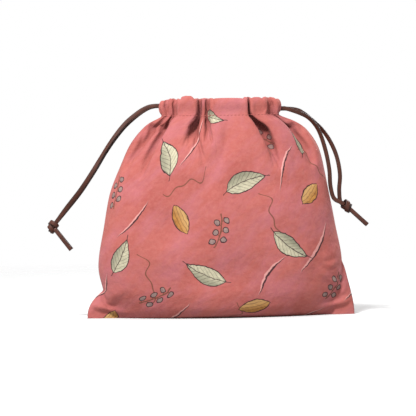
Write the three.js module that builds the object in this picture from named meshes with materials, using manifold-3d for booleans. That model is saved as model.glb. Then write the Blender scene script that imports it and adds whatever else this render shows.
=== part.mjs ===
// Kinchaku drawstring pouch, filled and standing on its base.
// Two printed cotton panels are sewn together at the sides and along the bottom. The top of each
// panel is turned inwards as a channel, gathered on two flat leather laces. Each lace runs through
// both channels, leaves at one side and ends in an overhand knot with two short cut tails.
// Millimetres. +Z is up, +X is to the right seen from the front, and the front faces -Y.
// The origin is the middle of the footprint on the floor.

import * as THREE from "three";
import { mergeVertices } from "three/addons/utils/BufferGeometryUtils.js";
import Module from "manifold-3d";

// Cloth sizes
const panelWidth = 262; // cloth of one panel between its side seams
const clothThickness = 0.8;
const seamGap = 0.3; // between the two panels along every seam

// Outside sizes of the filled pouch
const channelSeamHeight = 195; // floor to the stitching under the channels
const bellyWidth = 237;
const bellyDepth = 84;
const cornerSpan = 260; // tip to tip of the two bottom corners
const baseRounding = 13; // radius between the base and the wall
const mouthWidth = 113; // between the ends of the side seams under the channels
const mouthDepth = 46; // between the middles of the two channels
const mouthLean = 2.5; // how far the mouth sits to the right of the base
const shoulderLean = 2.5; // how much further to the right the shoulder sits

// Bottom corners, which stick out as flat ears: height where the ear meets the wall, power of its edge
const leftEar = { top: 27, power: 2.6 };
const rightEar = { top: 52, power: 2.0 };
const earThickness = 8;
const basePointedness = 0.85; // how far the section at the floor runs out flat towards the ears
const basePointHeight = 75; // floor to where the section is fully rounded

// Laces and channels
const laceWidth = 4;
const laceThickness = 1.8;
const laceCorner = 0.28; // taken off each corner of the section, as a share of the thickness
const laceClearance = 0.5;
const laceExit = 6; // how far a lace runs on straight past its place at the end of the channel
const laceTurn = 4; // how far a lace reaches past that place where it turns back into the other channel
const channelHeight = 16.5;
const channelEndHeight = 14.5;
const channelBulge = 1.6; // how far the outer face of a channel stands out from its stitching
const channelWrap = 330; // degrees of cloth around the laces, from the stitching to the hem edge
const channelPower = 1.4; // of the channel's section: 1 is an oval, more is pointed at its top
const channelEndPower = 0.8;
const channelEndShare = 0.06; // share of the mouth over which a channel's end closes around its laces
const topFlatness = 0.4; // power of a gather's top edge: 1 is an arch, less is flat with notches beside it
const slitHeight = 12; // open part of a side seam under the end of a channel
const endDent = 3.2; // how far a channel's outer face is pressed in at its ends
const endNose = 4; // how far the outer face reaches past the side seam around the laces

// Knots and tails
const knotLength = 12;
const knotDiameter = 11;
const leftKnot = [-162, 0, 90];
const leftKnotAxis = [-0.62, 0, -0.78];
const rightKnot = [124, 0, 105];
const rightKnotAxis = [0.83, 0, -0.55];
const strandSpread = 4.6; // between the middles of the two strands at a knot
const tailSpread = 4.6; // between the middles of the two tails

// Gathers from left to right: share of the mouth, share of the cloth, number of folds, how far the folds
// are pressed in at the channel, where the laces lie behind them, how far down they run, how far a flat
// leans over the fold after it, and how far the top edge rises
const frontGathers = [
  [0.165, 0.215, 2, endDent, 60, 0, 2.4],
  [0.105, 0.06, 0, 4.2, 26, 2.5, 3.6],
  [0.175, 0.26, 2, 10, 26, 0, 1.6],
  [0.249, 0.143, 0, 3.6, 50, 3, 0.6],
  [0.066, 0.125, 1, 4.2, 50, 0, 2.2],
  [0.1, 0.054, 0, 3.4, 40, 0, 1.4],
  [0.14, 0.143, 1, endDent, 52, 0, 2.2],
];
const backGathers = [
  [0.13, 0.16, 1, endDent, 58, 0, 2],
  [0.19, 0.1, 0, 3.6, 40, 3, 0.8],
  [0.12, 0.2, 2, 6, 36, 0, 2.4],
  [0.21, 0.11, 0, 3.8, 40, 4, 0.6],
  [0.1, 0.18, 2, 6, 46, 0, 2],
  [0.12, 0.065, 0, 3.6, 40, 0, 1.2],
  [0.13, 0.185, 1, endDent, 60, 0, 2.2],
];
const foldSteepness = 0.5; // fold depth against the spare cloth of the fold
const ridgeShare = 0.3; // how far the ridges inside a gather come back out, against the cloth beside it

// Outline of the wall: share of the height, share of the way from the mouth to the belly
const widthOutline = [
  [0, 0.78], [0.05, 0.86], [0.138, 0.93], [0.255, 1], [0.459, 0.9], [0.612, 0.81],
  [0.755, 0.68], [0.842, 0.58], [0.918, 0.42], [0.969, 0.23], [1, 0],
];
const depthOutline = [
  [0, 0.86], [0.12, 0.95], [0.3, 1], [0.55, 0.95], [0.75, 0.74], [0.88, 0.43], [0.96, 0.14], [1, 0],
];

// Free laces from the channel to the knot: x, y, z
const leftFrontStrand = [
  [-66, -3.8, 204.8], [-72, -3.3, 202.4], [-80, -2.7, 197.2], [-89, -2.2, 189.8],
  [-98.4, -1.9, 179], [-107.5, -1.9, 166.4],
  [-120, -1.9, 146.6], [-134, -1.9, 126], [-149, -1.9, 107.2],
];
const leftBackStrand = [
  [-66, 3.8, 204.2], [-72.6, 3.3, 200.8], [-81, 2.7, 194.6], [-90.4, 2.2, 186.2],
  [-99.8, 1.9, 175], [-109.4, 1.9, 161.4],
  [-121.6, 1.9, 142], [-135.4, 1.9, 122], [-150, 1.9, 104.4],
];
const rightFrontStrand = [
  [78, -5, 196.8], [88, -4, 191.6], [97, -3.4, 180.6], [103.6, -3, 162],
  [107.6, -2.6, 141], [108.6, -2.4, 124], [112, -2.4, 112.4],
];
const rightBackStrand = [
  [79, 5, 199], [92, 4, 189.4], [104.6, 3.4, 176], [114.4, 3, 156.4],
  [118.2, 2.6, 136], [117.2, 2.4, 120],
];
const leftTailReach = [13.5, 0, -17.6];
const rightTailReach = [15, 0, -14];

// Fineness of the model
const columnsPerFold = 6;
const clothPerFlatColumn = 14;
const baseRows = 3;
const roundingRows = 3;
const wallRows = 11;
const channelRows = 11;
const sectionSamples = 240;
const stepsPerChannel = 18;
const stepsPerChannelLace = 56;
const stepsPerStrand = 20;
const stepsPerTail = 4;

const cottonMaterial = new THREE.MeshStandardMaterial({ color: 0xd08079, roughness: 0.9, metalness: 0 });
const leatherMaterial = new THREE.MeshStandardMaterial({ color: 0x5e3a34, roughness: 0.55, metalness: 0 });

const smooth = THREE.MathUtils.smoothstep;
const mix = THREE.MathUtils.lerp;
const vector = (values) => new THREE.Vector3(...values);

// Smooth curve through a list of [position, value] that does not overshoot between the points
function curveThrough(points, position) {
  const last = points.length - 1;
  const slope = (i) => (points[i + 1][1] - points[i][1]) / (points[i + 1][0] - points[i][0]);
  const tangent = (i) => {
    if (i === 0) return slope(0);
    if (i === last) return slope(last - 1);
    const before = slope(i - 1);
    const after = slope(i);
    return before * after <= 0 ? 0 : (2 * before * after) / (before + after);
  };
  let i = 0;
  while (i < last - 1 && position > points[i + 1][0]) i += 1;
  const span = points[i + 1][0] - points[i][0];
  const t = THREE.MathUtils.clamp((position - points[i][0]) / span, 0, 1);
  const rise = t * t * (3 - 2 * t);
  const ease = t * (1 - t);
  const ends = points[i][1] * (1 - rise) + points[i + 1][1] * rise;
  return ends + span * ease * ((1 - t) * tangent(i) - t * tangent(i + 1));
}

// Depth of each gather's folds, what hangs over it, and where it starts on the cloth and on the mouth
function layOutGathers(gathers) {
  const mouthLength = sectionAt(channelSeamHeight).length;
  let mouth = 0;
  let cloth = 0;
  let overhang = 0;
  return gathers.map(([mouthShare, clothShare, folds, dent, run, lean, lift]) => {
    const count = Math.max(folds, 1);
    const clothPerFold = (clothShare * panelWidth) / count;
    const mouthPerFold = (mouthShare * mouthLength) / count;
    const spare = Math.max(clothPerFold ** 2 - mouthPerFold ** 2, 0);
    const depth = folds === 0 ? 0 : foldSteepness * Math.sqrt(spare);
    const piece = { mouth, cloth, mouthShare, clothShare, folds, depth, dent, run, lean, lift, overhang };
    mouth += mouthShare;
    cloth += clothShare;
    overhang = lean;
    return piece;
  });
}

function gatherAt(pieces, cloth) {
  const piece = pieces.findLast((candidate) => cloth >= candidate.cloth) ?? pieces[0];
  const share = THREE.MathUtils.clamp((cloth - piece.cloth) / piece.clothShare, 0, 1);
  const { folds, depth, run } = piece;
  const lift = piece.lift * Math.sin(Math.PI * share) ** topFlatness;
  if (folds === 0) return { lobe: 0, depth, run, lift, lean: piece.lean * share ** 2 };
  const wave = 0.5 - 0.5 * Math.cos(2 * Math.PI * folds * share);
  const between = Math.min(share, 1 - share) > 0.5 / folds;
  const lobe = between ? mix(1, wave, ridgeShare) : wave;
  const lean = share < 0.5 / folds ? piece.overhang * (1 - wave) : 0;
  return { lobe, depth, run, lift, lean };
}

// Where a share of the cloth lies along the gathered mouth
function mouthShareOf(pieces, cloth) {
  const knots = pieces.map((piece) => [piece.cloth, piece.mouth]);
  return curveThrough([...knots, [1, 1]], cloth);
}

// How far the folds are pressed in at a share of the mouth
function dentAt(pieces, share) {
  const middles = pieces.map((piece) => [piece.mouth + piece.mouthShare / 2, piece.dent]);
  return curveThrough([[0, endDent], ...middles, [1, endDent]], share);
}

// Lanes of the two laces in the channels, one above the other
const channelCentreHeight = channelSeamHeight + channelHeight / 2;
const laneOffset = (laceWidth + laceClearance) / 2;
const lanesHeight = 2 * laneOffset + laceWidth;
const laceRoom = clothThickness + laceClearance + laceThickness / 2;

// How far the inner layer of a channel stands behind the stitching, so that its flat facets clear both lanes
const channelStep = THREE.MathUtils.degToRad(channelWrap / channelRows);

function innerBulge(dent, height, power) {
  const fullness = (1 - (lanesHeight / height) ** 2) ** (power / 2);
  return (dent + 2 * laceRoom) / (fullness * Math.cos(channelStep / 2));
}

const channelEndOffset = innerBulge(endDent, channelEndHeight, channelEndPower) + seamGap;

// How open a channel is at a share of the mouth: 0 at its ends, 1 between them
function openness(share) {
  return smooth(Math.min(share, 1 - share), 0, channelEndShare);
}

// Half width of the wall without the ears, half width with them, half depth and pointedness of a section
function bodyHalfWidth(height) {
  const fullness = curveThrough(widthOutline, height / channelSeamHeight);
  return mix(mouthWidth / 2, bellyWidth / 2, fullness);
}

function halfWidth(height, ear) {
  const share = Math.min(height / ear.top, 1);
  return mix(cornerSpan / 2, bodyHalfWidth(height), share ** ear.power);
}

function halfDepth(height) {
  const fullness = curveThrough(depthOutline, height / channelSeamHeight);
  const inset = Math.max(baseRounding - height, 0);
  const rounding = baseRounding - Math.sqrt(baseRounding ** 2 - inset ** 2);
  return mix(mouthDepth / 2, bellyDepth / 2, fullness) - rounding;
}

function leanAt(height) {
  const share = height / channelSeamHeight;
  const shoulder = smooth(share, 0.6, 0.84) * (1 - smooth(share, 0.93, 1));
  return mouthLean * smooth(share, 0.55, 0.95) + shoulderLean * shoulder;
}

// Distance of one panel from the middle plane at a place of a section
function panelOffset(across, height, ear) {
  const body = Math.min(Math.abs(across) / bodyHalfWidth(height), 1);
  const atMouth = smooth(height / channelSeamHeight, 0.6, 1);
  const atBase = basePointedness * (1 - smooth(height, 0, basePointHeight));
  const point = Math.max(atMouth, atBase);
  const slit = channelEndOffset * smooth(height, channelSeamHeight - slitHeight, channelSeamHeight);
  const lens = (1 - body ** 2) ** mix(0.55, 1, point);
  const bodyOffset = slit + (halfDepth(height) - slit) * lens;
  const reach = Math.min(Math.abs(across) / halfWidth(height, ear), 1);
  const fade = Math.max(1 - height / ear.top, 0);
  const earOffset = (earThickness / 2) * fade * (1 - reach ** 2) ** 0.35;
  return Math.cbrt(bodyOffset ** 3 + earOffset ** 3);
}

// Section of one panel at a height, walked from the left seam to the right seam
function sectionAt(height) {
  const points = [];
  let length = 0;
  for (let i = 0; i <= sectionSamples; i += 1) {
    const side = -Math.cos((Math.PI * i) / sectionSamples);
    const ear = side < 0 ? leftEar : rightEar;
    const across = side * halfWidth(height, ear);
    const point = new THREE.Vector2(across + leanAt(height), panelOffset(across, height, ear));
    if (i > 0) length += point.distanceTo(points[i - 1].point);
    points.push({ point, length });
  }
  return { points, length };
}

function pointOnSection(section, share) {
  const target = share * section.length;
  let i = 1;
  while (i < section.points.length - 1 && section.points[i].length < target) i += 1;
  const before = section.points[i - 1];
  const after = section.points[i];
  const t = (target - before.length) / (after.length - before.length);
  const point = before.point.clone().lerp(after.point, t);
  const along = after.point.clone().sub(before.point).normalize();
  return { point, outward: new THREE.Vector2(-along.y, along.x) };
}

// Depth of a fold and lean of the flat beside it at a share of the fold's run: the fold is shallow at the
// stitching, deepest under it and gone at its foot
function foldDepth(dent, depth, down) {
  return mix(dent, depth, smooth(down, 0, 0.16)) * foldFade(down);
}

function foldFade(down) {
  return 1 - smooth(down, 0.1, 1);
}

// Least distance of the cloth from the middle plane: the corners of the base keep a narrow face
function seamOffset(height) {
  return seamGap / 2 + clothThickness * (1 - smooth(height, 0, baseRounding));
}

function basePoint(cloth, share) {
  const { point } = pointOnSection(sectionAt(0), cloth);
  return new THREE.Vector3(point.x, mix(seamGap / 2, Math.max(point.y, seamOffset(0)), share), 0);
}

function wallPoint(pieces, cloth, height) {
  const section = sectionAt(height);
  const mouthLength = sectionAt(channelSeamHeight).length;
  const gathered = THREE.MathUtils.clamp((panelWidth - section.length) / (panelWidth - mouthLength), 0, 1);
  const share = mouthShareOf(pieces, cloth);
  const place = pointOnSection(section, mix(cloth, share, gathered));
  const gather = gatherAt(pieces, cloth);
  const pinch = (1 - openness(share)) * smooth(height, channelSeamHeight - slitHeight, channelSeamHeight);
  const down = (channelSeamHeight - height) / gather.run;
  const depth = foldDepth(dentAt(pieces, share), gather.depth, down);
  const room = place.point.y;
  const fold = (Math.max(gather.lobe, pinch) * depth * room) / (depth + room + seamGap);
  const point = place.point.clone().addScaledVector(place.outward, -fold);
  const lean = gather.lean * foldFade(down);
  return new THREE.Vector3(point.x + lean, Math.max(point.y, seamOffset(height)), height);
}

// The stitching under a channel, in plan
function stitchingAt(share) {
  return pointOnSection(sectionAt(channelSeamHeight), share);
}

// Cloth of a channel at an angle around it: the outer face stays close to the stitching and follows the
// folds, and the inner layer lies behind the laces
function channelPoint(pieces, cloth, angle) {
  const share = mouthShareOf(pieces, cloth);
  const { point, outward } = stitchingAt(share);
  const gather = gatherAt(pieces, cloth);
  const open = openness(share);
  const height = mix(channelEndHeight, channelHeight, open);
  const power = mix(channelEndPower, channelPower, open);
  const dent = dentAt(pieces, share);
  const lobe = Math.max(gather.lobe, 1 - open);
  const fold = (lobe * dent * point.y) / (dent + point.y + seamGap);
  const outer = Math.cos(angle) > 0;
  const bulge = outer ? channelBulge * (1 - lobe) : -innerBulge(dent, height, power);
  const out = bulge * Math.abs(Math.cos(angle)) ** power - fold * (1 - smooth(angle, Math.PI / 2, Math.PI));
  const lift = gather.lift * open * (1 - lobe / 2) * Math.max(Math.sin(angle), 0);
  const up = (height / 2) * Math.sin(angle) + lift;
  const lean = gather.lean * (1 - smooth(angle, Math.PI / 4, (3 * Math.PI) / 4));
  const nose = Math.sign(share - 0.5) * endNose * (1 - open) * Math.max(Math.cos(angle), 0);
  const x = point.x + outward.x * out + lean + nose;
  return new THREE.Vector3(x, point.y + outward.y * out, channelCentreHeight + up);
}

// Cloth columns: a few for each fold and plain cloth between them
function clothColumns(pieces) {
  const columns = [0];
  for (const piece of pieces) {
    const plain = Math.ceil((piece.clothShare * panelWidth) / clothPerFlatColumn);
    const count = piece.folds === 0 ? plain : piece.folds * columnsPerFold;
    for (let i = 1; i <= count; i += 1) columns.push(piece.cloth + (piece.clothShare * i) / count);
  }
  return columns;
}

// Cloth rows from the bottom seam, up the wall, around the channel to the edge of the hem
function clothRows(pieces) {
  const rows = [];
  for (let i = 0; i < baseRows; i += 1) {
    rows.push((cloth) => basePoint(cloth, i / baseRows));
  }
  for (let i = 0; i < roundingRows; i += 1) {
    const height = baseRounding * (1 - Math.cos((Math.PI / 2) * (i / roundingRows)));
    rows.push((cloth) => wallPoint(pieces, cloth, height));
  }
  for (let i = 0; i < wallRows; i += 1) {
    const share = 1 - (1 - i / wallRows) ** 1.5;
    rows.push((cloth) => wallPoint(pieces, cloth, mix(baseRounding, channelSeamHeight, share)));
  }
  for (let i = 0; i <= channelRows; i += 1) {
    const angle = channelStep * i - Math.PI / 2;
    rows.push((cloth) => channelPoint(pieces, cloth, angle));
  }
  return rows;
}

// Direction out of the cloth at a place of the grid: on a seam it stays in the seam's own plane, and
// on the floor it does not point upwards
function clothNormal(grid, row, column) {
  const lastRow = grid.length - 1;
  const lastColumn = grid[0].length - 1;
  const down = grid[Math.max(row - 1, 0)][column];
  const up = grid[Math.min(row + 1, lastRow)][column];
  const left = grid[row][Math.max(column - 1, 0)];
  const right = grid[row][Math.min(column + 1, lastColumn)];
  const rise = up.clone().sub(down);
  const run = right.clone().sub(left);
  const normal = rise.cross(run).normalize();
  if (grid[row][column].y <= seamGap / 2) normal.setY(0).normalize();
  if (grid[row][column].z <= 0) normal.setZ(Math.min(normal.z, 0)).normalize();
  return normal;
}

// Closed sheet between an outside and an inside grid of points
function sheetGeometry(outside, inside) {
  const rows = outside.length;
  const columns = outside[0].length;
  const points = [...outside.flat(), ...inside.flat()];
  const outer = (row, column) => row * columns + column;
  const inner = (row, column) => rows * columns + row * columns + column;
  const faces = [];
  const quad = (a, b, c, d) => faces.push(a, b, c, a, c, d);
  for (let i = 0; i < rows - 1; i += 1) {
    for (let j = 0; j < columns - 1; j += 1) {
      quad(outer(i, j), outer(i + 1, j), outer(i + 1, j + 1), outer(i, j + 1));
      quad(inner(i, j), inner(i, j + 1), inner(i + 1, j + 1), inner(i + 1, j));
    }
  }
  for (let i = 0; i < rows - 1; i += 1) {
    quad(outer(i, 0), inner(i, 0), inner(i + 1, 0), outer(i + 1, 0));
    const end = columns - 1;
    quad(outer(i, end), outer(i + 1, end), inner(i + 1, end), inner(i, end));
  }
  for (let j = 0; j < columns - 1; j += 1) {
    quad(outer(0, j), outer(0, j + 1), inner(0, j + 1), inner(0, j));
    const end = rows - 1;
    quad(outer(end, j), inner(end, j), inner(end, j + 1), outer(end, j + 1));
  }
  const geometry = new THREE.BufferGeometry().setFromPoints(points);
  return geometry.setIndex(faces);
}

// One panel as a closed sheet of even thickness: the back one as it is laid out, the front one mirrored
function panelGeometry(gathers, front) {
  const pieces = layOutGathers(gathers);
  const columns = clothColumns(pieces);
  const outside = clothRows(pieces).map((row) => columns.map(row));
  const inside = outside.map((row, i) =>
    row.map((point, j) => {
      const inner = point.clone().addScaledVector(clothNormal(outside, i, j), -clothThickness);
      return inner.setY(Math.max(inner.y, seamGap / 2));
    }),
  );
  if (!front) return sheetGeometry(outside, inside);
  const mirrored = (grid) => grid.map((row) => row.map((point) => point.setY(-point.y)).reverse());
  return sheetGeometry(mirrored(outside), mirrored(inside));
}

// Section of a lace: a flat strap with its corners taken off
function laceShape(width, height) {
  const corner = laceThickness * laceCorner;
  const x = width / 2;
  const y = height / 2;
  return new THREE.Shape([
    new THREE.Vector2(-x + corner, -y),
    new THREE.Vector2(x - corner, -y),
    new THREE.Vector2(x, -y + corner),
    new THREE.Vector2(x, y - corner),
    new THREE.Vector2(x - corner, y),
    new THREE.Vector2(-x + corner, y),
    new THREE.Vector2(-x, y - corner),
    new THREE.Vector2(-x, -y + corner),
  ]);
}

// A lace along a route, with its flat sides to the front and the back
function laceAlong(points, steps) {
  const extrudePath = new THREE.CatmullRomCurve3(points, false, "centripetal");
  const start = extrudePath.computeFrenetFrames(steps, false).normals[0];
  const level = Math.abs(start.y) > Math.abs(start.z);
  const shape = level ? laceShape(laceThickness, laceWidth) : laceShape(laceWidth, laceThickness);
  return new THREE.ExtrudeGeometry(shape, { steps, extrudePath });
}

// Middle of a lace in a channel, with the panel behind the middle plane
function laceMiddle(gathers, share, height) {
  const { point, outward } = stitchingAt(share);
  const inset = dentAt(layOutGathers(gathers), share) + laceRoom;
  const inside = point.clone().addScaledVector(outward, -inset);
  return new THREE.Vector3(inside.x, inside.y, height);
}

const toFront = (point) => point.clone().setY(-point.y);

// The run of one lace through both channels, from its exit on one side around the other side and back
function channelLace(height, exitSide) {
  const shares = [];
  for (let i = 0; i <= stepsPerChannel; i += 1) shares.push(i / stepsPerChannel);
  if (exitSide > 0) shares.reverse();
  const front = shares.map((share) => toFront(laceMiddle(frontGathers, share, height)));
  const back = shares.map((share) => laceMiddle(backGathers, share, height)).reverse();
  const turn = back[0];
  const turned = [120, 90, 60].map((degrees) => {
    const angle = THREE.MathUtils.degToRad(degrees);
    const out = laceTurn * Math.sin(angle);
    return new THREE.Vector3(turn.x - exitSide * out, turn.y * Math.cos(angle), height);
  });
  const end = back[back.length - 1].clone();
  end.x += exitSide * laceExit;
  return laceAlong([toFront(end), ...front, ...turned, ...back, end], stepsPerChannelLace);
}

// A free strand from the end of its channel lace to the near face of its knot
function strand(exitSide, faceSide, height, route, knot, axis) {
  const exit = laceMiddle(backGathers, exitSide < 0 ? 0 : 1, height);
  const start = exitSide * (laceExit + laceClearance);
  const first = new THREE.Vector3(exit.x + start, faceSide * exit.y, height);
  const second = first.clone().setX(first.x + exitSide * laceThickness);
  const last = vector(axis).setLength(-(knotLength / 2 + laceClearance)).add(vector(knot));
  last.y += (faceSide * strandSpread) / 2;
  return laceAlong([first, second, ...route.map(vector), last], stepsPerStrand);
}

function tail(faceSide, knot, reach) {
  const start = vector(reach).setLength(knotLength / 2 + laceClearance).add(vector(knot));
  start.y += (faceSide * tailSpread) / 2;
  const end = start.clone().add(vector(reach));
  end.y += (faceSide * tailSpread) / 2;
  return laceAlong([start, start.clone().lerp(end, 0.5), end], stepsPerTail);
}

// Knots are built from a core and the turns of lace around it
const { Manifold, Mesh } = await startManifold();

async function startManifold() {
  const wasm = await Module();
  wasm.setup();
  return wasm;
}

function toManifold(geometry) {
  const plain = new THREE.BufferGeometry();
  plain.setAttribute("position", geometry.getAttribute("position"));
  if (geometry.index) plain.setIndex(geometry.index);
  const welded = mergeVertices(plain, 1e-4);
  const vertProperties = new Float32Array(welded.getAttribute("position").array);
  const triVerts = new Uint32Array(welded.index.array);
  return new Manifold(new Mesh({ numProp: 3, vertProperties, triVerts }));
}

function toGeometry(solid) {
  const mesh = solid.getMesh();
  const geometry = new THREE.BufferGeometry();
  geometry.setAttribute("position", new THREE.BufferAttribute(new Float32Array(mesh.vertProperties), 3));
  geometry.setIndex(new THREE.BufferAttribute(new Uint32Array(mesh.triVerts), 1));
  return geometry;
}

function knotGeometry(knot, axis) {
  const core = new THREE.SphereGeometry(1, 12, 6);
  core.scale(knotDiameter * 0.4, knotLength / 2, knotDiameter * 0.4);
  const turnRadius = knotLength * 0.2;
  const solids = [-1, 1].map((side) => {
    const turn = new THREE.TorusGeometry(knotDiameter / 2 - turnRadius, turnRadius, 7, 14);
    turn.rotateX(Math.PI / 2 + side * 0.3);
    turn.translate(0, side * knotLength * 0.17, 0);
    return toManifold(turn);
  });
  const geometry = toGeometry(Manifold.union([toManifold(core), ...solids]));
  const up = new THREE.Vector3(0, 1, 0);
  geometry.applyQuaternion(new THREE.Quaternion().setFromUnitVectors(up, vector(axis).normalize()));
  geometry.translate(...knot);
  return geometry;
}

const pouch = new THREE.Group();

function add(name, geometry, material) {
  const plain = geometry.index ? geometry.toNonIndexed() : geometry;
  plain.computeVertexNormals();
  const mesh = new THREE.Mesh(plain, material);
  mesh.name = name;
  pouch.add(mesh);
}

const upperLane = channelCentreHeight + laneOffset;
const lowerLane = channelCentreHeight - laneOffset;

add("front_panel", panelGeometry(frontGathers, true), cottonMaterial);
add("back_panel", panelGeometry(backGathers, false), cottonMaterial);

add("left_lace_in_channel", channelLace(upperLane, -1), leatherMaterial);
add("right_lace_in_channel", channelLace(lowerLane, 1), leatherMaterial);

const leftEnd = [leftKnot, leftKnotAxis];
const rightEnd = [rightKnot, rightKnotAxis];
add("left_front_strand", strand(-1, -1, upperLane, leftFrontStrand, ...leftEnd), leatherMaterial);
add("left_back_strand", strand(-1, 1, upperLane, leftBackStrand, ...leftEnd), leatherMaterial);
add("right_front_strand", strand(1, -1, lowerLane, rightFrontStrand, ...rightEnd), leatherMaterial);
add("right_back_strand", strand(1, 1, lowerLane, rightBackStrand, ...rightEnd), leatherMaterial);

add("left_knot", knotGeometry(...leftEnd), leatherMaterial);
add("right_knot", knotGeometry(...rightEnd), leatherMaterial);
add("left_front_tail", tail(-1, leftKnot, leftTailReach), leatherMaterial);
add("left_back_tail", tail(1, leftKnot, leftTailReach), leatherMaterial);
add("right_front_tail", tail(-1, rightKnot, rightTailReach), leatherMaterial);
add("right_back_tail", tail(1, rightKnot, rightTailReach), leatherMaterial);

export default pouch;
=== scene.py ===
"""Looks of the kinchaku drawstring pouch: gathered printed cotton, flat leather laces, knots, stitching.

Shapes are worked out in millimetres in the same frame as the model, then stored in metres.
"""

import math
from functools import partialmethod

import bpy
import numpy as np
from mathutils import Matrix, Vector


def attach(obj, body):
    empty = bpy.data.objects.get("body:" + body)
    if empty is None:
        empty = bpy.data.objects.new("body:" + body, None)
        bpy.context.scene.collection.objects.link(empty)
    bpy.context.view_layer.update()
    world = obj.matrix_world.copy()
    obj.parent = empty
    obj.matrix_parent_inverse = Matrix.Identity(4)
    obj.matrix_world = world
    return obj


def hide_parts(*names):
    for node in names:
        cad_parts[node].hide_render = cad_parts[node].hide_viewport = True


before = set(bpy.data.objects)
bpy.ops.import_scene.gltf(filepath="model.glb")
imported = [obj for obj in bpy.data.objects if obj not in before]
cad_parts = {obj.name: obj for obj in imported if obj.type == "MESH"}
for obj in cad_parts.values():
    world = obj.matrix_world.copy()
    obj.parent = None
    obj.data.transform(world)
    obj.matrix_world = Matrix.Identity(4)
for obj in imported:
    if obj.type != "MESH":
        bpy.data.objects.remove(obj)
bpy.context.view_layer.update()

MM = 0.001
TINY = 1e-9

# Sizes of the cloth and of the filled pouch, in millimetres, as in the model
PANEL_WIDTH = 262.0
CLOTH_THICKNESS = 0.8
SEAM_GAP = 0.3
CHANNEL_SEAM_HEIGHT = 195.0
BELLY_WIDTH = 237.0
BELLY_DEPTH = 84.0
CORNER_SPAN = 260.0
BASE_ROUNDING = 13.0
MOUTH_WIDTH = 113.0
MOUTH_DEPTH = 46.0
MOUTH_LEAN = 2.5
SHOULDER_LEAN = 2.5
LEFT_EAR = (27.0, 2.6)
RIGHT_EAR = (52.0, 2.0)
EAR_THICKNESS = 8.0
BASE_POINTEDNESS = 0.85
BASE_POINT_HEIGHT = 75.0
SLIT_HEIGHT = 12.0

# Where the wall leans and its sections turn pointed, in shares of the height, and how round they are
MOUTH_LEAN_RISE = (0.55, 0.95)
SHOULDER_LEAN_RISE = (0.6, 0.84)
SHOULDER_LEAN_FALL = (0.93, 1)
POINTED_FROM = 0.6
LENS_POWER = 0.55
EAR_POWER = 0.35

# Laces and channels
LACE_WIDTH = 4.0
LACE_THICKNESS = 1.8
LACE_CORNER = 0.5
LACE_CLEARANCE = 0.5
LACE_EXIT = 6.0
LACE_TURN = 4.0
CHANNEL_HEIGHT = 16.5
CHANNEL_END_HEIGHT = 14.5
CHANNEL_BULGE = 1.6
CHANNEL_WRAP = 330.0
CHANNEL_POWER = 1.4
CHANNEL_END_POWER = 0.8
CHANNEL_END_SHARE = 0.06
TOP_FLATNESS = 0.4
END_DENT = 3.2
END_NOSE = 4.0
HIDDEN_SHARE = 0.07
TURN_DEGREES = (60, 90, 120)

# Gathers from left to right: share of the mouth, share of the cloth, number of folds, how far the folds
# are pressed in at the channel, how far down they run, how far a flat leans over the fold after it, and
# how far the top edge rises
FRONT_GATHERS = (
    (0.165, 0.215, 2, END_DENT, 60.0, 0, 2.4),
    (0.105, 0.06, 0, 4.2, 26.0, 2.5, 3.6),
    (0.175, 0.26, 2, 10.0, 26.0, 0, 1.6),
    (0.249, 0.143, 0, 3.6, 50.0, 3.0, 0.6),
    (0.066, 0.125, 1, 4.2, 50.0, 0, 2.2),
    (0.1, 0.054, 0, 3.4, 40.0, 0, 1.4),
    (0.14, 0.143, 1, END_DENT, 52.0, 0, 2.2),
)
BACK_GATHERS = (
    (0.13, 0.16, 1, END_DENT, 58.0, 0, 2.0),
    (0.19, 0.1, 0, 3.6, 40.0, 3.0, 0.8),
    (0.12, 0.2, 2, 6.0, 36.0, 0, 2.4),
    (0.21, 0.11, 0, 3.8, 40.0, 4.0, 0.6),
    (0.1, 0.18, 2, 6.0, 46.0, 0, 2.0),
    (0.12, 0.065, 0, 3.6, 40.0, 0, 1.2),
    (0.13, 0.185, 1, END_DENT, 60.0, 0, 2.2),
)
FOLD_STEEPNESS = 0.5
RIDGE_SHARE = 0.3
# Shares of a fold's run where it has opened to its depth, and where it starts to fade
FOLD_OPENS = 0.16
FOLD_FADES = 0.1

# Outline of the wall: share of the height, share of the way from the mouth to the belly
WIDTH_OUTLINE = (
    (0, 0.78), (0.05, 0.86), (0.138, 0.93), (0.255, 1), (0.459, 0.9), (0.612, 0.81),
    (0.755, 0.68), (0.842, 0.58), (0.918, 0.42), (0.969, 0.23), (1, 0),
)
DEPTH_OUTLINE = (
    (0, 0.86), (0.12, 0.95), (0.3, 1), (0.55, 0.95), (0.75, 0.74), (0.88, 0.43), (0.96, 0.14), (1, 0),
)

# Knots, tails and free laces from the channel to the knot, as in the model
KNOT_LENGTH = 12.0
STRAND_SPREAD = 4.6
TAIL_SPREAD = 4.6
LEFT_KNOT = (-162.0, 0.0, 90.0)
LEFT_KNOT_AXIS = (-0.62, 0.0, -0.78)
RIGHT_KNOT = (124.0, 0.0, 105.0)
RIGHT_KNOT_AXIS = (0.83, 0.0, -0.55)
LEFT_TAIL_REACH = (13.5, 0.0, -17.6)
RIGHT_TAIL_REACH = (15.0, 0.0, -14.0)
LEFT_FRONT_STRAND = (
    (-66, -3.8, 204.8), (-72, -3.3, 202.4), (-80, -2.7, 197.2), (-89, -2.2, 189.8),
    (-98.4, -1.9, 179), (-107.5, -1.9, 166.4),
    (-120, -1.9, 146.6), (-134, -1.9, 126), (-149, -1.9, 107.2),
)
LEFT_BACK_STRAND = (
    (-66, 3.8, 204.2), (-72.6, 3.3, 200.8), (-81, 2.7, 194.6), (-90.4, 2.2, 186.2),
    (-99.8, 1.9, 175), (-109.4, 1.9, 161.4),
    (-121.6, 1.9, 142), (-135.4, 1.9, 122), (-150, 1.9, 104.4),
)
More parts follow.
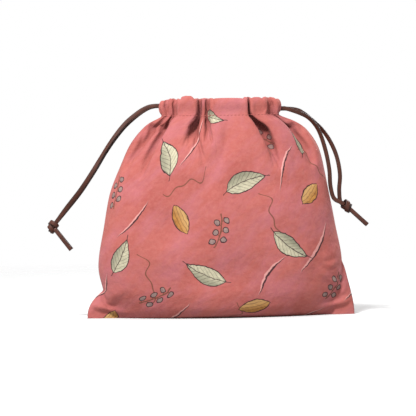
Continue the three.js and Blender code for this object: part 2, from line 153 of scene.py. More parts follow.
RIGHT_FRONT_STRAND = (
    (78, -5, 196.8), (88, -4, 191.6), (97, -3.4, 180.6), (103.6, -3, 162),
    (107.6, -2.6, 141), (108.6, -2.4, 124), (112, -2.4, 112.4),
)
RIGHT_BACK_STRAND = (
    (79, 5, 199), (92, 4, 189.4), (104.6, 3.4, 176), (114.4, 3, 156.4),
    (118.2, 2.6, 136), (117.2, 2.4, 120),
)
# Twists of the free laces and of their cut ends: share of the length, degrees
LEFT_TWISTS = ((0, 0), (0.25, 12), (0.5, 38), (0.62, 10), (0.8, -22), (1, 0))
RIGHT_TWISTS = ((0, 0), (0.2, 14), (0.35, 44), (0.6, 12), (0.85, -12), (1, 0))
TAIL_TWISTS = ((0, 6), (1, -10))
# Turns of a lace around its knot: turns around the axis, place along it, distance from it
KNOT_TURNS = (
    (-0.2, 4.4, 1.2), (0.0, 3.9, 2.7), (0.2, 3.4, 3.3), (0.5, 2.2, 3.5), (0.8, 0.4, 3.5), (1.1, -1.7, 3.5),
    (1.35, -3.2, 3.6), (1.55, -2.6, 4.3), (1.75, -0.6, 5.0), (1.95, 1.8, 4.9), (2.15, 3.7, 3.6),
    (2.3, 4.5, 1.8),
)
LEFT_KNOT_START = 0.1
RIGHT_KNOT_START = 0.65
KNOT_LACE_WIDTH = 4.3
KNOT_CORE = 3.0
KNOT_CORE_REACH = 4.6
KNOT_TAPER = 0.5
# How far from a knot's middle the hidden ends of its laces lie
KNOT_INSIDE = KNOT_LENGTH * 0.2
# Share of a lace's rounded corner that shows as its cut edge
EDGE_SHARE = 0.8

# Soft valleys in the walls: middle x and z, half length, half width, slope in degrees, depth
FRONT_VALLEYS = (
    (45, 180, 20, 6.5, -49, 4.6),
    (-72, 176, 26, 6, 41, 4.0),
    (-17, 166, 26, 6, 106, 5.0),
    (3, 162, 30, 7, 63, 4.6),
    (78, 150, 26, 9, -62, 2.2),
    (100, 66, 26, 8, 62, 2.0),
    (-84, 120, 34, 11, 64, 2.0),
    (10, 46, 44, 14, 14, 1.4),
    (-50, 86, 40, 13, 35, 1.4),
)
BACK_VALLEYS = (
    (-48, 178, 20, 7, 50, 4.0),
    (62, 174, 24, 7, -46, 3.6),
    (4, 162, 26, 8, 78, 2.6),
    (-84, 116, 32, 10, -60, 2.0),
    (30, 70, 44, 14, -14, 1.5),
    (-60, 60, 36, 12, 28, 1.4),
)
# Ridges in the flat ears, listed in the same way
FRONT_RIDGES = (
    (-112, 10, 18, 3.2, -12, 3.2),
    (-99, 25, 17, 4, 40, 2.6),
    (107, 47, 17, 3.2, -42, 2.4),
    (112, 31, 17, 3.2, -38, 2.6),
    (112, 11, 18, 3.2, 13, 2.8),
)
BACK_RIDGES = (
    (-112, 12, 16, 2.6, -12, 1.6),
    (-106, 36, 15, 3.5, 40, 1.4),
    (110, 14, 16, 2.6, 14, 1.6),
    (104, 40, 15, 3.5, -40, 1.4),
)
WAVES = 9
WAVE_REACH = (22, 90)
WAVE_STEEPNESS = 0.006
# Over what distance these marks fade out near the base, the channel seam, the middle plane and the sides
BASE_FADE = 7.0
CHANNEL_SEAM_FADE = 14.0
ROOM_FADE = 8.0
SIDE_SEAM_FADE = 6.0
FRONT_SEED = 7
BACK_SEED = 11

# Settling of the cloth: motion in millimetres for each step, how stiff it is, and how tightly it may curl
SETTLE_STEPS = 60
SETTLE_ROUNDS = 6
SETTLE_PRESSURE = 0.008
SETTLE_WEIGHT = 0.004
SETTLE_DAMPING = 0.92
SETTLE_SPEED = 1.2
SETTLE_START = 0.05
CHANNEL_SPEED = 0.5
STRETCH = 1.0
SHEAR = 0.25
BENDING = 0.12
CURL = 0.35
CURL_STEP = 7
CURL_LEAST = 0.82
# What is held by the side seams, the hem and the floor: columns, rows, height
HELD_COLUMNS = 2
HELD_ROWS = 3
HELD_HEIGHT = 0.5
# Spare width of the cloth, and in which shares of a fold's run it rises and falls
CHANNEL_SLACK = 0.2
SHOULDER_SLACK = 0.35
BELLY_SLACK = 0.012
SLACK_RISE = (0, 0.2)
SLACK_FALL = (0.2, 1.2)
# How far a point may move, and how far under the channel and over the base that changes
SHOULDER_CAP = 9.0
BELLY_CAP = 4.0
CAP_CHANGE = (14.0, 70.0)
BASE_CAP_RISE = 30.0

# Stitching under the channels
STITCH_LENGTH = 2.6
STITCH_GAP = 0.9
THREAD_THICKNESS = 0.5
THREAD_RINGS = 6
THREAD_SIDES = 6
STITCH_SINK = 0.35

# Print, on the flat cloth in millimetres: place of a motif (x, height from the bottom seam, degrees), then
# its half length, half breadth and how far its ends swing to the side
PRINT_REPEAT = (262.0, 258.0)
BACK_PRINT_OFFSET = (84.0, 61.0)
LEAVES = (
    ((-62, 192, 118), 19, 8.5, 3),
    ((28, 168, 22), 20, 9, -3),
    ((-96, 96, 64), 18, 8.5, 2.5),
    ((66, 104, -38), 20, 8.5, 3),
    ((-16, 78, 152), 19, 9, -2.5),
    ((104, 208, 80), 16, 6.5, 2),
    ((4, 232, -20), 15, 6.5, 2),
)
PODS = (
    ((-38, 132, -62), 15, 7.5),
    ((96, 154, 40), 14, 7),
    ((30, 46, 12), 14, 7),
    ((-108, 30, 70), 13, 6.5),
)
SPRIGS = (
    ((2, 120, 74), 17),
    ((-112, 158, 100), 16),
    ((112, 62, 58), 16),
    ((-64, 56, 30), 16),
    ((60, 214, -50), 15),
)
BLADES = (
    ((-30, 206, 62), 30, 3.0, 5),
    ((74, 182, 58), 27, 2.6, -4),
    ((-84, 130, 48), 24, 2.4, 4),
    ((96, 100, 54), 30, 3.4, 5),
    ((44, 78, 50), 26, 2.6, -4),
    ((-48, 28, 40), 30, 2.8, 5),
    ((78, 26, 44), 28, 2.6, -4),
    ((-124, 62, 52), 22, 2.4, 4),
    ((22, 14, 36), 24, 2.2, 4),
)
TENDRILS = (
    ((-34, 166, 22), 26, 7),
    ((52, 134, 104), 24, 6),
    ((-70, 74, 96), 26, 6),
    ((8, 28, 60), 22, 6),
    ((112, 182, 120), 22, 6),
)
OUTLINE = 0.5
BERRY_OUTLINE = 0.4
LEAF_TAPER = 0.35
LEAF_SHADOW = (0.2, 0.9)
LEAF_TIP = 1.02
LEAF_STEM = 1.25
RIB_WIDTH = 0.416
VEIN_WIDTH = 0.32
VEIN_SPACING = 4.6
VEIN_SLANT = 1.1
VEIN_INSET = 0.4
POD_TIP = 1.06
POD_ROUNDNESS = (0.4, 0.6)
BAND_SPACING = 3.2
BAND_BOW = -1.5
BAND_INSET = 0.6
SPRIG_BOW = 3.0
BERRY_SPACING = 9.5
BERRY_STALK = 4.6
BERRY_RADIUS = 2.7
STALK_WIDTH = 0.455
STALK_SLANT = 0.4
BLADE_STROKE = 0.85
TENDRIL_WIDTH = 0.65
TENDRIL_TURN = 2.2 * math.pi
TENDRIL_PHASE = 0.6
TENDRIL_SWING = 0.2
# Over what distance printed edges, lines, veins, stem ends and berry rows fade
EDGE_SOFT = 0.4
LINE_SOFT = 0.35
VEIN_SOFT = 0.3
END_SOFT = 0.6
BERRY_SOFT = 0.1
# How strongly the parts of the print cover what lies under them
LEAF_SHADOW_INK = 0.75
VEIN_INK = 0.55
RIB_INK = 0.85
POD_SHINE_INK = 0.55
BAND_INK = 0.5
STEM_INK = 0.9
PALE_INK = 0.8
STROKE_INK = 0.95
TENDRIL_INK = 0.85
# Uneven colour inside the print, and how far its lines wobble: noise scales, limits, distance
MOTTLE = (0.25, 3.0, 0.6)
MOTTLE_EDGE = (0.5, 0.4)
WOBBLE = 2.4
WOBBLE_SCALES = (0.16, 0.21)

# Dyed ground, from broad to fine washes: noise scale, detail and roughness, then limit, softness and share
WASHES = (
    ((0.016, 3.0, 0.55), (0.5, 0.3), 1.0),
    ((1.0, 4.0, 0.62), (0.54, 0.2), 0.85),
    ((0.22, 4.0, 0.65), (0.56, 0.3), 0.4),
)
STREAK_STRETCH = (0.012, 0.03)

# Surface of the cotton: noise scale, detail and roughness of its unevenness, then its relief (strength and
# distance), roughness and gloss, and the painted shade that darkens the folds
YARN_FINENESS = (0.35, 2.4)
WEFT_APART = 9.0
WEAVE_RELIEF = 0.12
SLUB = (0.9, 2.0, 0.6)
CRUMPLE = (0.07, 4.0, 0.55)
CLOTH_RELIEF = (0.5, 3.0)
CLOTH_ROUGHNESS = (0.2, 0.72)
CLOTH_GLOSS = 0.15
SHEEN = 0.07
SHEEN_ROUGHNESS = 0.45
# Painted shade in the folds: occlusion reach and samples, where the shade starts and its softness, and how
# strongly it darkens the colour
FOLD_SHADE_REACH = 14.0
FOLD_SHADE_SAMPLES = 8
FOLD_SHADE_LIMITS = (0.58, 0.6)
FOLD_SHADE_SHARE = 0.75

# Surface of the leather: noise scales, shares of patches and streaks in its tone, then cut edges, pores,
# roughness (by grain, by patches, least), gloss and relief (strength and distance)
GRAIN_SCALE = 1600
PATCH_SCALE = 130
STREAK_SCALE = 9
STREAK_SHAPE = (0.012, 0.9, 0.5)
PATCH_TONE = 0.6
STREAK_TONE = 0.5
TONE_SHIFT = 0.05
LACE_EDGE_INK = 0.8
PORES = (0.62, 0.3)
PORE_INK = 0.35
LEATHER_ROUGHNESS = (0.25, 0.2, 0.28)
LEATHER_GLOSS = 0.25
GRAIN_RELIEF = 0.6
PATCH_RELIEF = 0.8
LEATHER_RELIEF = (0.5, 0.25)

# Surface of the thread and of the paper
TWIST_SCALE = 2600
THREAD_ROUGHNESS = (0.3, 0.5)
THREAD_RELIEF = (0.4, 0.1)
PAPER_TOOTH = 40
PAPER_ROUGHNESS = 0.9

# Colours, as sRGB from 0 to 255
INK = (40, 23, 26)
STEM = (84, 52, 38)
BLADE_PALE = (176, 126, 121)
LEAF_TONES = ((160, 152, 130), (138, 135, 114), (98, 97, 81))
POD_TONES = ((148, 104, 50), (122, 79, 38), (166, 136, 92))
BERRY_TONES = ((126, 106, 98), (94, 76, 76))
COTTON_TONES = ((142, 76, 70), (132, 66, 61), (141, 80, 84), (150, 90, 83))
REVERSE_TONES = ((152, 93, 87), (142, 84, 78), (148, 94, 95), (160, 104, 97))
# Colour of the painted shade laid into the cloth's colour in deep folds
FOLD_SHADE_TONE = (74, 26, 24)
SHEEN_TONE = (255, 214, 205)
THREAD_TONES = ((140, 66, 61), (164, 90, 83))
LEATHER_TONES = ((24, 10, 6), (76, 35, 19))
LACE_EDGE_TONE = (22, 10, 7)
PORE_TONE = (24, 11, 8)
PAPER_TONES = ((174, 174, 174), (180, 180, 180))

# Studio, in metres and watts: where the paper fades out, then lamp name, place, aim, size and power
WORLD_LIGHT = 1.0
PAPER_FADE = (0.6, 1.5)
LAMPS = (
    ("key", (-0.55, -1.15, 1.65), (0, 0, 0.1), 0.32, 84),
    ("fill", (1.2, 1.3, 1.2), (0, 0, 0.1), 0.6, 34),
)

# Fineness of meshes and curves
CLOTH_COLUMNS = 180
CLOTH_ROWS = 190
SECTION_SAMPLES = 240
ROUTE_SPACING = 1.2
BASE_STEPS = 40
ROUNDING_STEPS = 20
WALL_STEPS = 180
CHANNEL_STEPS = 70
SECTION_STEP = 0.002
CURVE_STEPS = 24
CORNER_POINTS = 4
CHANNEL_POINTS = 18
KNOT_STEPS = 160
KNOT_RINGS = 15
KNOT_SIDES = 24

# View of the photograph, in millimetres at the pouch's middle plane: width of the picture, and how far
# the middle of the pouch's base lies to the right of and below the picture's middle
PICTURE_WIDTH = 405.0
BASE_RIGHT = 12.7
BASE_DOWN = 105.2
CAMERA_DISTANCE = 2000.0
CAMERA_ELEVATION = math.radians(0.6)
CAMERA_ROLL = math.radians(-1.0)
SENSOR_WIDTH = 36.0
CAMERA_RANGE = 20000.0


def smooth(value, low, high):
    share = np.clip((value - low) / (high - low), 0, 1)
    return share * share * (3 - 2 * share)


def mix(a, b, share):
    return a + (b - a) * share


def unit(vectors):
    vectors = np.asarray(vectors, float)
    return vectors / np.maximum(np.linalg.norm(vectors, axis=-1, keepdims=True), TINY)


def eased(start, end, leave, arrive, share):
    """Cubic curve between two values, with the slopes that it leaves and arrives with."""
    ease = share * (1 - share) * ((1 - share) * leave - share * arrive)
    return mix(start, end, share * share * (3 - 2 * share)) + ease


def lengths_along(points):
    """Distances along a line of points, from its first one."""
    return np.concatenate(((0,), np.cumsum(np.linalg.norm(np.diff(points, axis=0), axis=1))))


def sample(places, length, values):
    """Rows of values at places along a line."""
    return np.stack([np.interp(places, length, column) for column in values.T], -1)


def add_object(name, data):
    obj = bpy.data.objects.new(name, data)
    bpy.context.scene.collection.objects.link(obj)
    return obj


# Camera


def make_camera():
    camera = bpy.data.cameras.new("camera")
    camera.sensor_width = SENSOR_WIDTH
    camera.lens = camera.sensor_width * CAMERA_DISTANCE / PICTURE_WIDTH
    camera.clip_end = CAMERA_RANGE * MM
    obj = add_object("camera", camera)
    away = Vector((0, -math.cos(CAMERA_ELEVATION), math.sin(CAMERA_ELEVATION)))
    turn = (-away).to_track_quat("-Z", "Y").to_matrix() @ Matrix.Rotation(CAMERA_ROLL, 3, "Z")
    middle = turn @ Vector((-BASE_RIGHT, BASE_DOWN, 0))
    obj.location = (middle + away * CAMERA_DISTANCE) * MM
    obj.rotation_euler = turn.to_euler()
    bpy.context.scene.camera = obj


make_camera()


# Shape of the filled pouch


def curve_through(points, position):
    """Smooth curve through (position, value) points that does not overshoot between them."""
    slopes = [(after[1] - before[1]) / (after[0] - before[0]) for before, after in zip(points, points[1:])]
    between = [0 if a * b <= 0 else 2 * a * b / (a + b) for a, b in zip(slopes, slopes[1:])]
    tangents = (slopes[0], *between, slopes[-1])
    i = 0
    while i < len(slopes) - 1 and position > points[i + 1][0]:
        i += 1
    span = points[i + 1][0] - points[i][0]
    share = min(max((position - points[i][0]) / span, 0), 1)
    return eased(points[i][1], points[i + 1][1], span * tangents[i], span * tangents[i + 1], share)


CHANNEL_CENTRE = CHANNEL_SEAM_HEIGHT + CHANNEL_HEIGHT / 2
LANE_OFFSET = (LACE_WIDTH + LACE_CLEARANCE) / 2
UPPER_LANE = CHANNEL_CENTRE + LANE_OFFSET
LOWER_LANE = CHANNEL_CENTRE - LANE_OFFSET
LANES_HEIGHT = 2 * LANE_OFFSET + LACE_WIDTH
LACE_ROOM = CLOTH_THICKNESS + LACE_CLEARANCE + LACE_THICKNESS / 2


def inner_bulge(dent, height, power):
    """How far the inner layer of a channel stands behind the stitching, so that it clears both lanes."""
    return (dent + 2 * LACE_ROOM) / (1 - (LANES_HEIGHT / height) ** 2) ** (power / 2)


CHANNEL_END_OFFSET = inner_bulge(END_DENT, CHANNEL_END_HEIGHT, CHANNEL_END_POWER) + SEAM_GAP


def dent_at(pieces, share):
    """How far the folds are pressed in at a share of the mouth."""
    points = [(0, END_DENT)]
    start = 0
    for mouth_share, _, _, dent, *_ in pieces:
        points.append((start + mouth_share / 2, dent))
        start += mouth_share
    return curve_through((*points, (1, END_DENT)), share)


def openness(share):
    """How open a channel is at a share of the mouth: 0 at its ends, 1 between them."""
    return smooth(np.minimum(share, 1 - share), 0, CHANNEL_END_SHARE)


def body_half_width(height):
    fullness = curve_through(WIDTH_OUTLINE, height / CHANNEL_SEAM_HEIGHT)
    return mix(MOUTH_WIDTH / 2, BELLY_WIDTH / 2, fullness)


def half_width(height, ear):
    top, power = ear
    share = min(height / top, 1)
    return mix(CORNER_SPAN / 2, body_half_width(height), share**power)


def half_depth(height):
    fullness = curve_through(DEPTH_OUTLINE, height / CHANNEL_SEAM_HEIGHT)
    inset = max(BASE_ROUNDING - height, 0)
    rounding = BASE_ROUNDING - math.sqrt(BASE_ROUNDING**2 - inset**2)
    return mix(MOUTH_DEPTH / 2, BELLY_DEPTH / 2, fullness) - rounding


def lean_at(height):
    share = height / CHANNEL_SEAM_HEIGHT
    shoulder = smooth(share, *SHOULDER_LEAN_RISE) * (1 - smooth(share, *SHOULDER_LEAN_FALL))
    return MOUTH_LEAN * smooth(share, *MOUTH_LEAN_RISE) + SHOULDER_LEAN * shoulder


def side_offsets(side, height, ear):
    """Half of a section on one side: distances from the middle plane at shares of the half width."""
    across = side * half_width(height, ear)
    body = np.minimum(np.abs(across) / body_half_width(height), 1)
    at_mouth = smooth(height / CHANNEL_SEAM_HEIGHT, POINTED_FROM, 1)
    at_base = BASE_POINTEDNESS * (1 - smooth(height, 0, BASE_POINT_HEIGHT))
    point = max(at_mouth, at_base)
    slit = CHANNEL_END_OFFSET * smooth(height, CHANNEL_SEAM_HEIGHT - SLIT_HEIGHT, CHANNEL_SEAM_HEIGHT)
    lens = (1 - body**2) ** mix(LENS_POWER, 1, point)
    body_offset = slit + (half_depth(height) - slit) * lens
    fade = max(1 - height / ear[0], 0)
    ear_offset = EAR_THICKNESS / 2 * fade * np.maximum(1 - side**2, 0) ** EAR_POWER
    return across, np.cbrt(body_offset**3 + ear_offset**3)


def section_at(height):
    """Plan of one panel at a height, from the left seam to the right: x, distance from the middle, length."""
    side = -np.cos(np.pi * np.arange(SECTION_SAMPLES + 1) / SECTION_SAMPLES)
    middle = SECTION_SAMPLES // 2
    left = side_offsets(side[:middle], height, LEFT_EAR)
    right = side_offsets(side[middle:], height, RIGHT_EAR)
    x = np.concatenate((left[0], right[0])) + lean_at(height)
    y = np.concatenate((left[1], right[1]))
    length = np.concatenate(((0,), np.cumsum(np.hypot(np.diff(x), np.diff(y)))))
    return x, y, length


def on_section(section, share):
    """Points and outward directions of a section at shares of its length."""
    x, y, length = section
    target = np.asarray(share) * length[-1]
    step = length[-1] * SECTION_STEP
    ahead = np.minimum(target + step, length[-1])
    behind = np.maximum(target - step, 0)
    along_x = np.interp(ahead, length, x) - np.interp(behind, length, x)
    along_y = np.interp(ahead, length, y) - np.interp(behind, length, y)
    point = np.stack((np.interp(target, length, x), np.interp(target, length, y)), -1)
    return point, unit(np.stack((-along_y, along_x), -1))


MOUTH_SECTION = section_at(CHANNEL_SEAM_HEIGHT)
MOUTH_LENGTH = MOUTH_SECTION[2][-1]


# Meshes


def new_object(name, points, faces, materials):
    mesh = bpy.data.meshes.new(name)
    mesh.from_pydata((np.asarray(points) * MM).tolist(), [], [list(face) for face in faces])
    for material in materials:
        mesh.materials.append(material)
    mesh.polygons.foreach_set("use_smooth", np.ones(len(mesh.polygons), dtype=bool))
    return add_object(name, mesh)


def tube_faces(rings, sides, first=0):
    """Faces of a tube of rings of points, with one face over each end."""
    faces = []
    for ring in range(rings - 1):
        for side in range(sides):
            a = first + ring * sides + side
            b = first + ring * sides + (side + 1) % sides
            faces.append((a, b, b + sides, a + sides))
    last = first + (rings - 1) * sides
    faces.append(tuple(range(first + sides - 1, first - 1, -1)))
    faces.append(tuple(range(last, last + sides)))
    return faces


def add_piece(obj, slot, *nodes):
    """Puts an object on the body and hides the solids that it stands for; the slot argument is not used."""
    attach(obj, "root")
    if nodes:
        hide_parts(*nodes)
    return obj


# Laces


def smooth_route(points):
    """Evenly spaced points of a centripetal curve through given points."""
    points = np.asarray(points, float)
    ends = np.vstack((2 * points[0] - points[1], points, 2 * points[-1] - points[-2]))
    share = np.linspace(0, 1, CURVE_STEPS, endpoint=False)[:, None]
    pieces = []
    for before, start, end, after in zip(ends, ends[1:], ends[2:], ends[3:]):
        steps = (start - before, end - start, after - end)
        first, middle, last = (np.linalg.norm(step) ** 0.5 for step in steps)
        leave = middle * ((start - before) / first - (end - before) / (first + middle)) + (end - start)
        arrive = (end - start) + middle * ((after - end) / last - (after - start) / (middle + last))
        pieces.append(eased(start, end, leave, arrive, share))
    dense = np.vstack((*pieces, points[-1:]))
    length = lengths_along(dense)
    count = int(length[-1] / ROUTE_SPACING)
    return sample(np.linspace(0, length[-1], count + 1), length, dense)


def strap_section(width):
    """Points of a flat strap's section with rounded corners."""
    points = []
    for quarter, (side_x, side_y) in enumerate(((1, 1), (-1, 1), (-1, -1), (1, -1))):
        for step in np.linspace(0, 1, CORNER_POINTS):
            angle = math.pi / 2 * (quarter + step)
            x = side_x * (width / 2 - LACE_CORNER) + LACE_CORNER * math.cos(angle)
            y = side_y * (LACE_THICKNESS / 2 - LACE_CORNER) + LACE_CORNER * math.sin(angle)
            points.append((x, y))
    return np.array(points)


def tube(route, across, section, first=0):
    """Points and faces of a tube with one section along a route, the section's x lying along across."""
    along = unit(np.gradient(route, axis=0))
    across = unit(across - along * np.sum(across * along, axis=1, keepdims=True))
    facing = np.cross(along, across)
    rings = route[:, None] + across[:, None] * section[None, :, :1] + facing[:, None] * section[None, :, 1:]
    return rings.reshape(-1, 3), tube_faces(len(route), len(section), first)


def strap(route, across, width=LACE_WIDTH):
    """Points, faces, edge weights and lengths of a flat strap along a route, its width lying along across."""
    section = strap_section(width)
    edge = np.tile(np.abs(section[:, 0]) > width / 2 - LACE_CORNER * EDGE_SHARE, len(route)).astype(float)
    lengths = np.repeat(np.arange(len(route)) * ROUTE_SPACING, len(section))
    return *tube(route, across, section), edge, lengths


def twisted(route, twists):
    """Width directions of a lace that faces front and back, turned by degrees at shares of its length."""
    along = unit(np.gradient(route, axis=0))
    level = unit(np.cross(along, (0, 1, 0)))
    over = np.cross(along, level)
    shares = np.linspace(0, 1, len(route))
    angle = np.radians([curve_through(twists, share) for share in shares])[:, None]
    return level * np.cos(angle) + over * np.sin(angle)


def leather_object(name, straps, *nodes):
    """One object of leather straps, with the strap's edges and lengths kept for its material."""
    points, strap_faces, edge, lengths = zip(*straps)
    faces = []
    start = 0
    for strap_points, some_faces in zip(points, strap_faces):
        faces += [tuple(i + start for i in face) for face in some_faces]
        start += len(strap_points)
    obj = new_object(name, np.vstack(points), faces, [leather])
    # The cut ends, which have more corners than the sides, stay flat
    for polygon in obj.data.polygons:
        polygon.use_smooth = len(polygon.vertices) == 4
    for key, values in (("edge", edge), ("length", lengths)):
        layer = obj.data.attributes.new(key, "FLOAT", "POINT")
        layer.data.foreach_set("value", np.concatenate(values).astype(np.float32))
    return add_piece(obj, "lace_leather", *nodes)


def lace_middle(share, height, face):
    """Middle of a lace inside the front (-1) or back (1) channel."""
    point, outward = on_section(MOUTH_SECTION, share)
    dent = dent_at(FRONT_GATHERS if face < 0 else BACK_GATHERS, share)
    inside = point - outward * (dent + LACE_ROOM)
    return np.array((inside[0], face * inside[1], height))


def channel_lace(name, height, exit_side):
    """A lace through both channels: it turns around one end of the mouth and stops short of the other."""
    near, far = (HIDDEN_SHARE, 1.0) if exit_side < 0 else (1 - HIDDEN_SHARE, 0.0)
    shares = np.linspace(near, far, CHANNEL_POINTS)
    front = [lace_middle(share, height, -1) for share in shares]
    back = [lace_middle(share, height, 1) for share in reversed(shares)]
    turn = front[-1]
    bend = []
    for angle in np.radians(TURN_DEGREES):
        bend.append((turn[0] - exit_side * LACE_TURN * math.sin(angle), turn[1] * math.cos(angle), height))
    route = smooth_route((*front, *bend, *back))
    upright = np.tile((0.0, 0.0, 1.0), (len(route), 1))
    leather_object(name + "_strap", [strap(route, upright)], name)


def strand_route(exit_side, face, height, points, knot, axis):
    """A free lace: hidden start in its channel, straight out, along its points and into its knot."""
    end_share = 0.0 if exit_side < 0 else 1.0
    inside = abs(end_share - HIDDEN_SHARE)
    halfway = abs(end_share - HIDDEN_SHARE / 2)
    hidden = [lace_middle(share, height, face) for share in (inside, halfway, end_share)]
    first = hidden[-1] + (exit_side * (LACE_EXIT + LACE_CLEARANCE), 0, 0)
    second = first + (exit_side * LACE_THICKNESS, 0, 0)
    last = np.array(knot) - unit(axis) * (KNOT_LENGTH / 2 + LACE_CLEARANCE)
    last[1] += face * STRAND_SPREAD / 2
    into = np.array(knot) - unit(axis) * KNOT_INSIDE
    into[1] += face * STRAND_SPREAD / 2
    return smooth_route((*hidden, first, second, *points, last, into)), hidden[-1]


def tail_strap(face, knot, reach):
    """A short cut end of a lace, from inside its knot."""
    reach = np.array(reach)
    start = np.array(knot) + unit(reach) * KNOT_INSIDE
    start[1] += face * TAIL_SPREAD / 2
    end = np.array(knot) + unit(reach) * (KNOT_LENGTH / 2 + LACE_CLEARANCE) + reach
    end[1] += face * TAIL_SPREAD
    route = smooth_route((start, mix(start, end, 0.5), end))
    return strap(route, twisted(route, [(share, face * degrees) for share, degrees in TAIL_TWISTS]))


def knot_straps(knot, axis, start_turn):
    """The turns of an overhand knot around its core, for a knot whose axis lies in the middle plane."""
    axis = unit(axis)
    side = np.array((0.0, 1.0, 0.0))
    other = np.cross(axis, side)

    def place(turns, along, radius):
        angle = 2 * np.pi * (turns + start_turn)[:, None]
        radial = np.cos(angle) * side + np.sin(angle) * other
        return knot + along[:, None] * axis + radius[:, None] * radial, radial

    turns = np.array(KNOT_TURNS)
    dense = np.linspace(turns[0, 0], turns[-1, 0], KNOT_STEPS)
    along, radius = (np.array([curve_through(turns[:, (0, i)], turn) for turn in dense]) for i in (1, 2))
    route, radial = place(dense, along, radius)
    across = np.cross(radial, unit(np.gradient(route, axis=0)))
    around = np.linspace(0, 1, KNOT_SIDES, endpoint=False)
    even = np.ones(KNOT_SIDES)
    core = []
    for station in np.linspace(-1, 1, KNOT_RINGS):
        core_radius = KNOT_CORE * (1 - KNOT_TAPER * station**2)
        core.append(place(around, even * station * KNOT_CORE_REACH, even * core_radius)[0])
    core_points = np.vstack(core)
    blank = np.zeros(len(core_points))
    core_strap = (core_points, tube_faces(KNOT_RINGS, KNOT_SIDES), blank, blank)
    return [strap(route, across, KNOT_LACE_WIDTH), core_strap]


def make_lace(side, exit_side, lane, knot, axis, start_turn, reach, strands, twists):
    """One lace: its run in the channels, its knot, its two free strands and their cut tails."""
    channel_lace(side + "_lace_in_channel", lane, exit_side)
    straps = knot_straps(np.array(knot), axis, start_turn)
    turns = leather_object(side + "_knot_turns", straps, side + "_knot")
    for face, face_name, points in zip((-1, 1), ("front", "back"), strands):
        name = side + "_" + face_name
        route, leaving = strand_route(exit_side, face, lane, points, knot, axis)
        obj = leather_object(name + "_lace", [strap(route, twisted(route, twists))], name + "_strand")
        tail = leather_object(name + "_lace_end", [tail_strap(face, knot, reach)], name + "_tail")


# Materials


def feed(tree, value, slot):
    """Links a field or a socket to a slot, or sets a plain value on it."""
    if isinstance(value, Field):
        value = value.socket
    if isinstance(value, bpy.types.NodeSocket):
        tree.links.new(value, slot)
    else:
        slot.default_value = value


def set_inputs(tree, node, inputs):
    for key, value in inputs.items():
        feed(tree, value, node.inputs[key])


def add_node(tree, kind, inputs, **settings):
    """Outputs of a new node of a material, with its settings and some of its inputs."""
    node = tree.nodes.new("ShaderNode" + kind)
    for key, value in settings.items():
        setattr(node, key, value)
    set_inputs(tree, node, inputs)
    return node.outputs


class Field:
    """A number that varies over a surface, made of math nodes."""

    def __init__(self, tree, socket):
        self.tree = tree
        self.socket = socket

    def calc(self, operation, *others, clamp=False):
        inputs = dict(enumerate((self, *others)))
        return Field(self.tree, add_node(self.tree, "Math", inputs, operation=operation, use_clamp=clamp)[0])

    __add__ = partialmethod(calc, "ADD")
    __sub__ = partialmethod(calc, "SUBTRACT")
    __mul__ = partialmethod(calc, "MULTIPLY")
    __truediv__ = partialmethod(calc, "DIVIDE")
    __pow__ = partialmethod(calc, "POWER")
    __abs__ = partialmethod(calc, "ABSOLUTE")
    plus = partialmethod(calc, "MULTIPLY_ADD")
    most = partialmethod(calc, "MAXIMUM")

    def below(self, limit, softness):
        """1 where the field is under a limit, 0 where it is over it."""
        return self.calc("MULTIPLY_ADD", -1 / softness, limit / softness + 0.5, clamp=True)

    def above(self, limit, softness):
        return self.calc("MULTIPLY_ADD", 1 / softness, 0.5 - limit / softness, clamp=True)


def new_material(name):
    material = bpy.data.materials.new(name)
    material.use_nodes = True
    return material, material.node_tree


def with_looks(material, looks):
    """The material, with values and links set on its shader."""
    set_inputs(material.node_tree, material.node_tree.nodes["Principled BSDF"], looks)
    return material


def object_place(tree):
    return add_node(tree, "TexCoord", {})["Object"]


def noise(tree, place, scale, detail=3.0, rough=0.5):
    inputs = {"Vector": place, "Scale": scale, "Detail": detail, "Roughness": rough}
    return Field(tree, add_node(tree, "TexNoise", inputs)["Fac"])


# Sockets of a mix node that are meant for colours
MIX_INPUTS = (0, 6, 7)
MIX_OUTPUT = 2


def blend(share, first, second):
    """A share of the second colour over the first: sockets, or sRGB colours from 0 to 255."""
    tones = [(*shade(*tone), 1) if isinstance(tone, tuple) else tone for tone in (first, second)]
    return add_node(share.tree, "Mix", dict(zip(MIX_INPUTS, (share, *tones))), data_type="RGBA")[MIX_OUTPUT]


def attribute(tree, name):
    return Field(tree, add_node(tree, "Attribute", {}, attribute_name=name)["Fac"])


def combine(x, y, z):
    return add_node(x.tree, "CombineXYZ", {"X": x, "Y": y, "Z": z})[0]


def bump(tree, height, strength, distance):
    return add_node(tree, "Bump", {"Strength": strength, "Distance": distance * MM, "Height": height})[0]


def shade(red, green, blue):
    """Linear colour of an sRGB colour given from 0 to 255."""
    parts = (value / 255 for value in (red, green, blue))
    return tuple(v / 12.92 if v <= 0.04045 else ((v + 0.055) / 1.055) ** 2.4 for v in parts)


def leather_material():
    """Dark brown lace leather: fine grain, long streaks, worn lighter patches and darker cut edges."""
    material, tree = new_material("lace_leather")
    place = object_place(tree)
    grain = noise(tree, place, GRAIN_SCALE, detail=2.0)
    patches = noise(tree, place, PATCH_SCALE, detail=4.0)
    edge = attribute(tree, "edge")
    shape = [field * share for field, share in zip((attribute(tree, "length"), edge, patches), STREAK_SHAPE)]
    streaks = noise(tree, combine(*shape), STREAK_SCALE)
    tone = (patches * PATCH_TONE + streaks * STREAK_TONE).calc("SUBTRACT", TONE_SHIFT, clamp=True)
    colour = blend(tone, *LEATHER_TONES)
    colour = blend(edge * LACE_EDGE_INK, colour, LACE_EDGE_TONE)
    colour = blend(grain.above(*PORES) * PORE_INK, colour, PORE_TONE)
    by_grain, by_patches, least = LEATHER_ROUGHNESS
    relief = grain * GRAIN_RELIEF + patches * PATCH_RELIEF
    looks = {
        "Base Color": colour,
        "Roughness": (grain * by_grain + patches * by_patches) + least,
        "Specular IOR Level": LEATHER_GLOSS,
        "Normal": bump(tree, relief, *LEATHER_RELIEF),
    }
    return with_looks(material, looks)


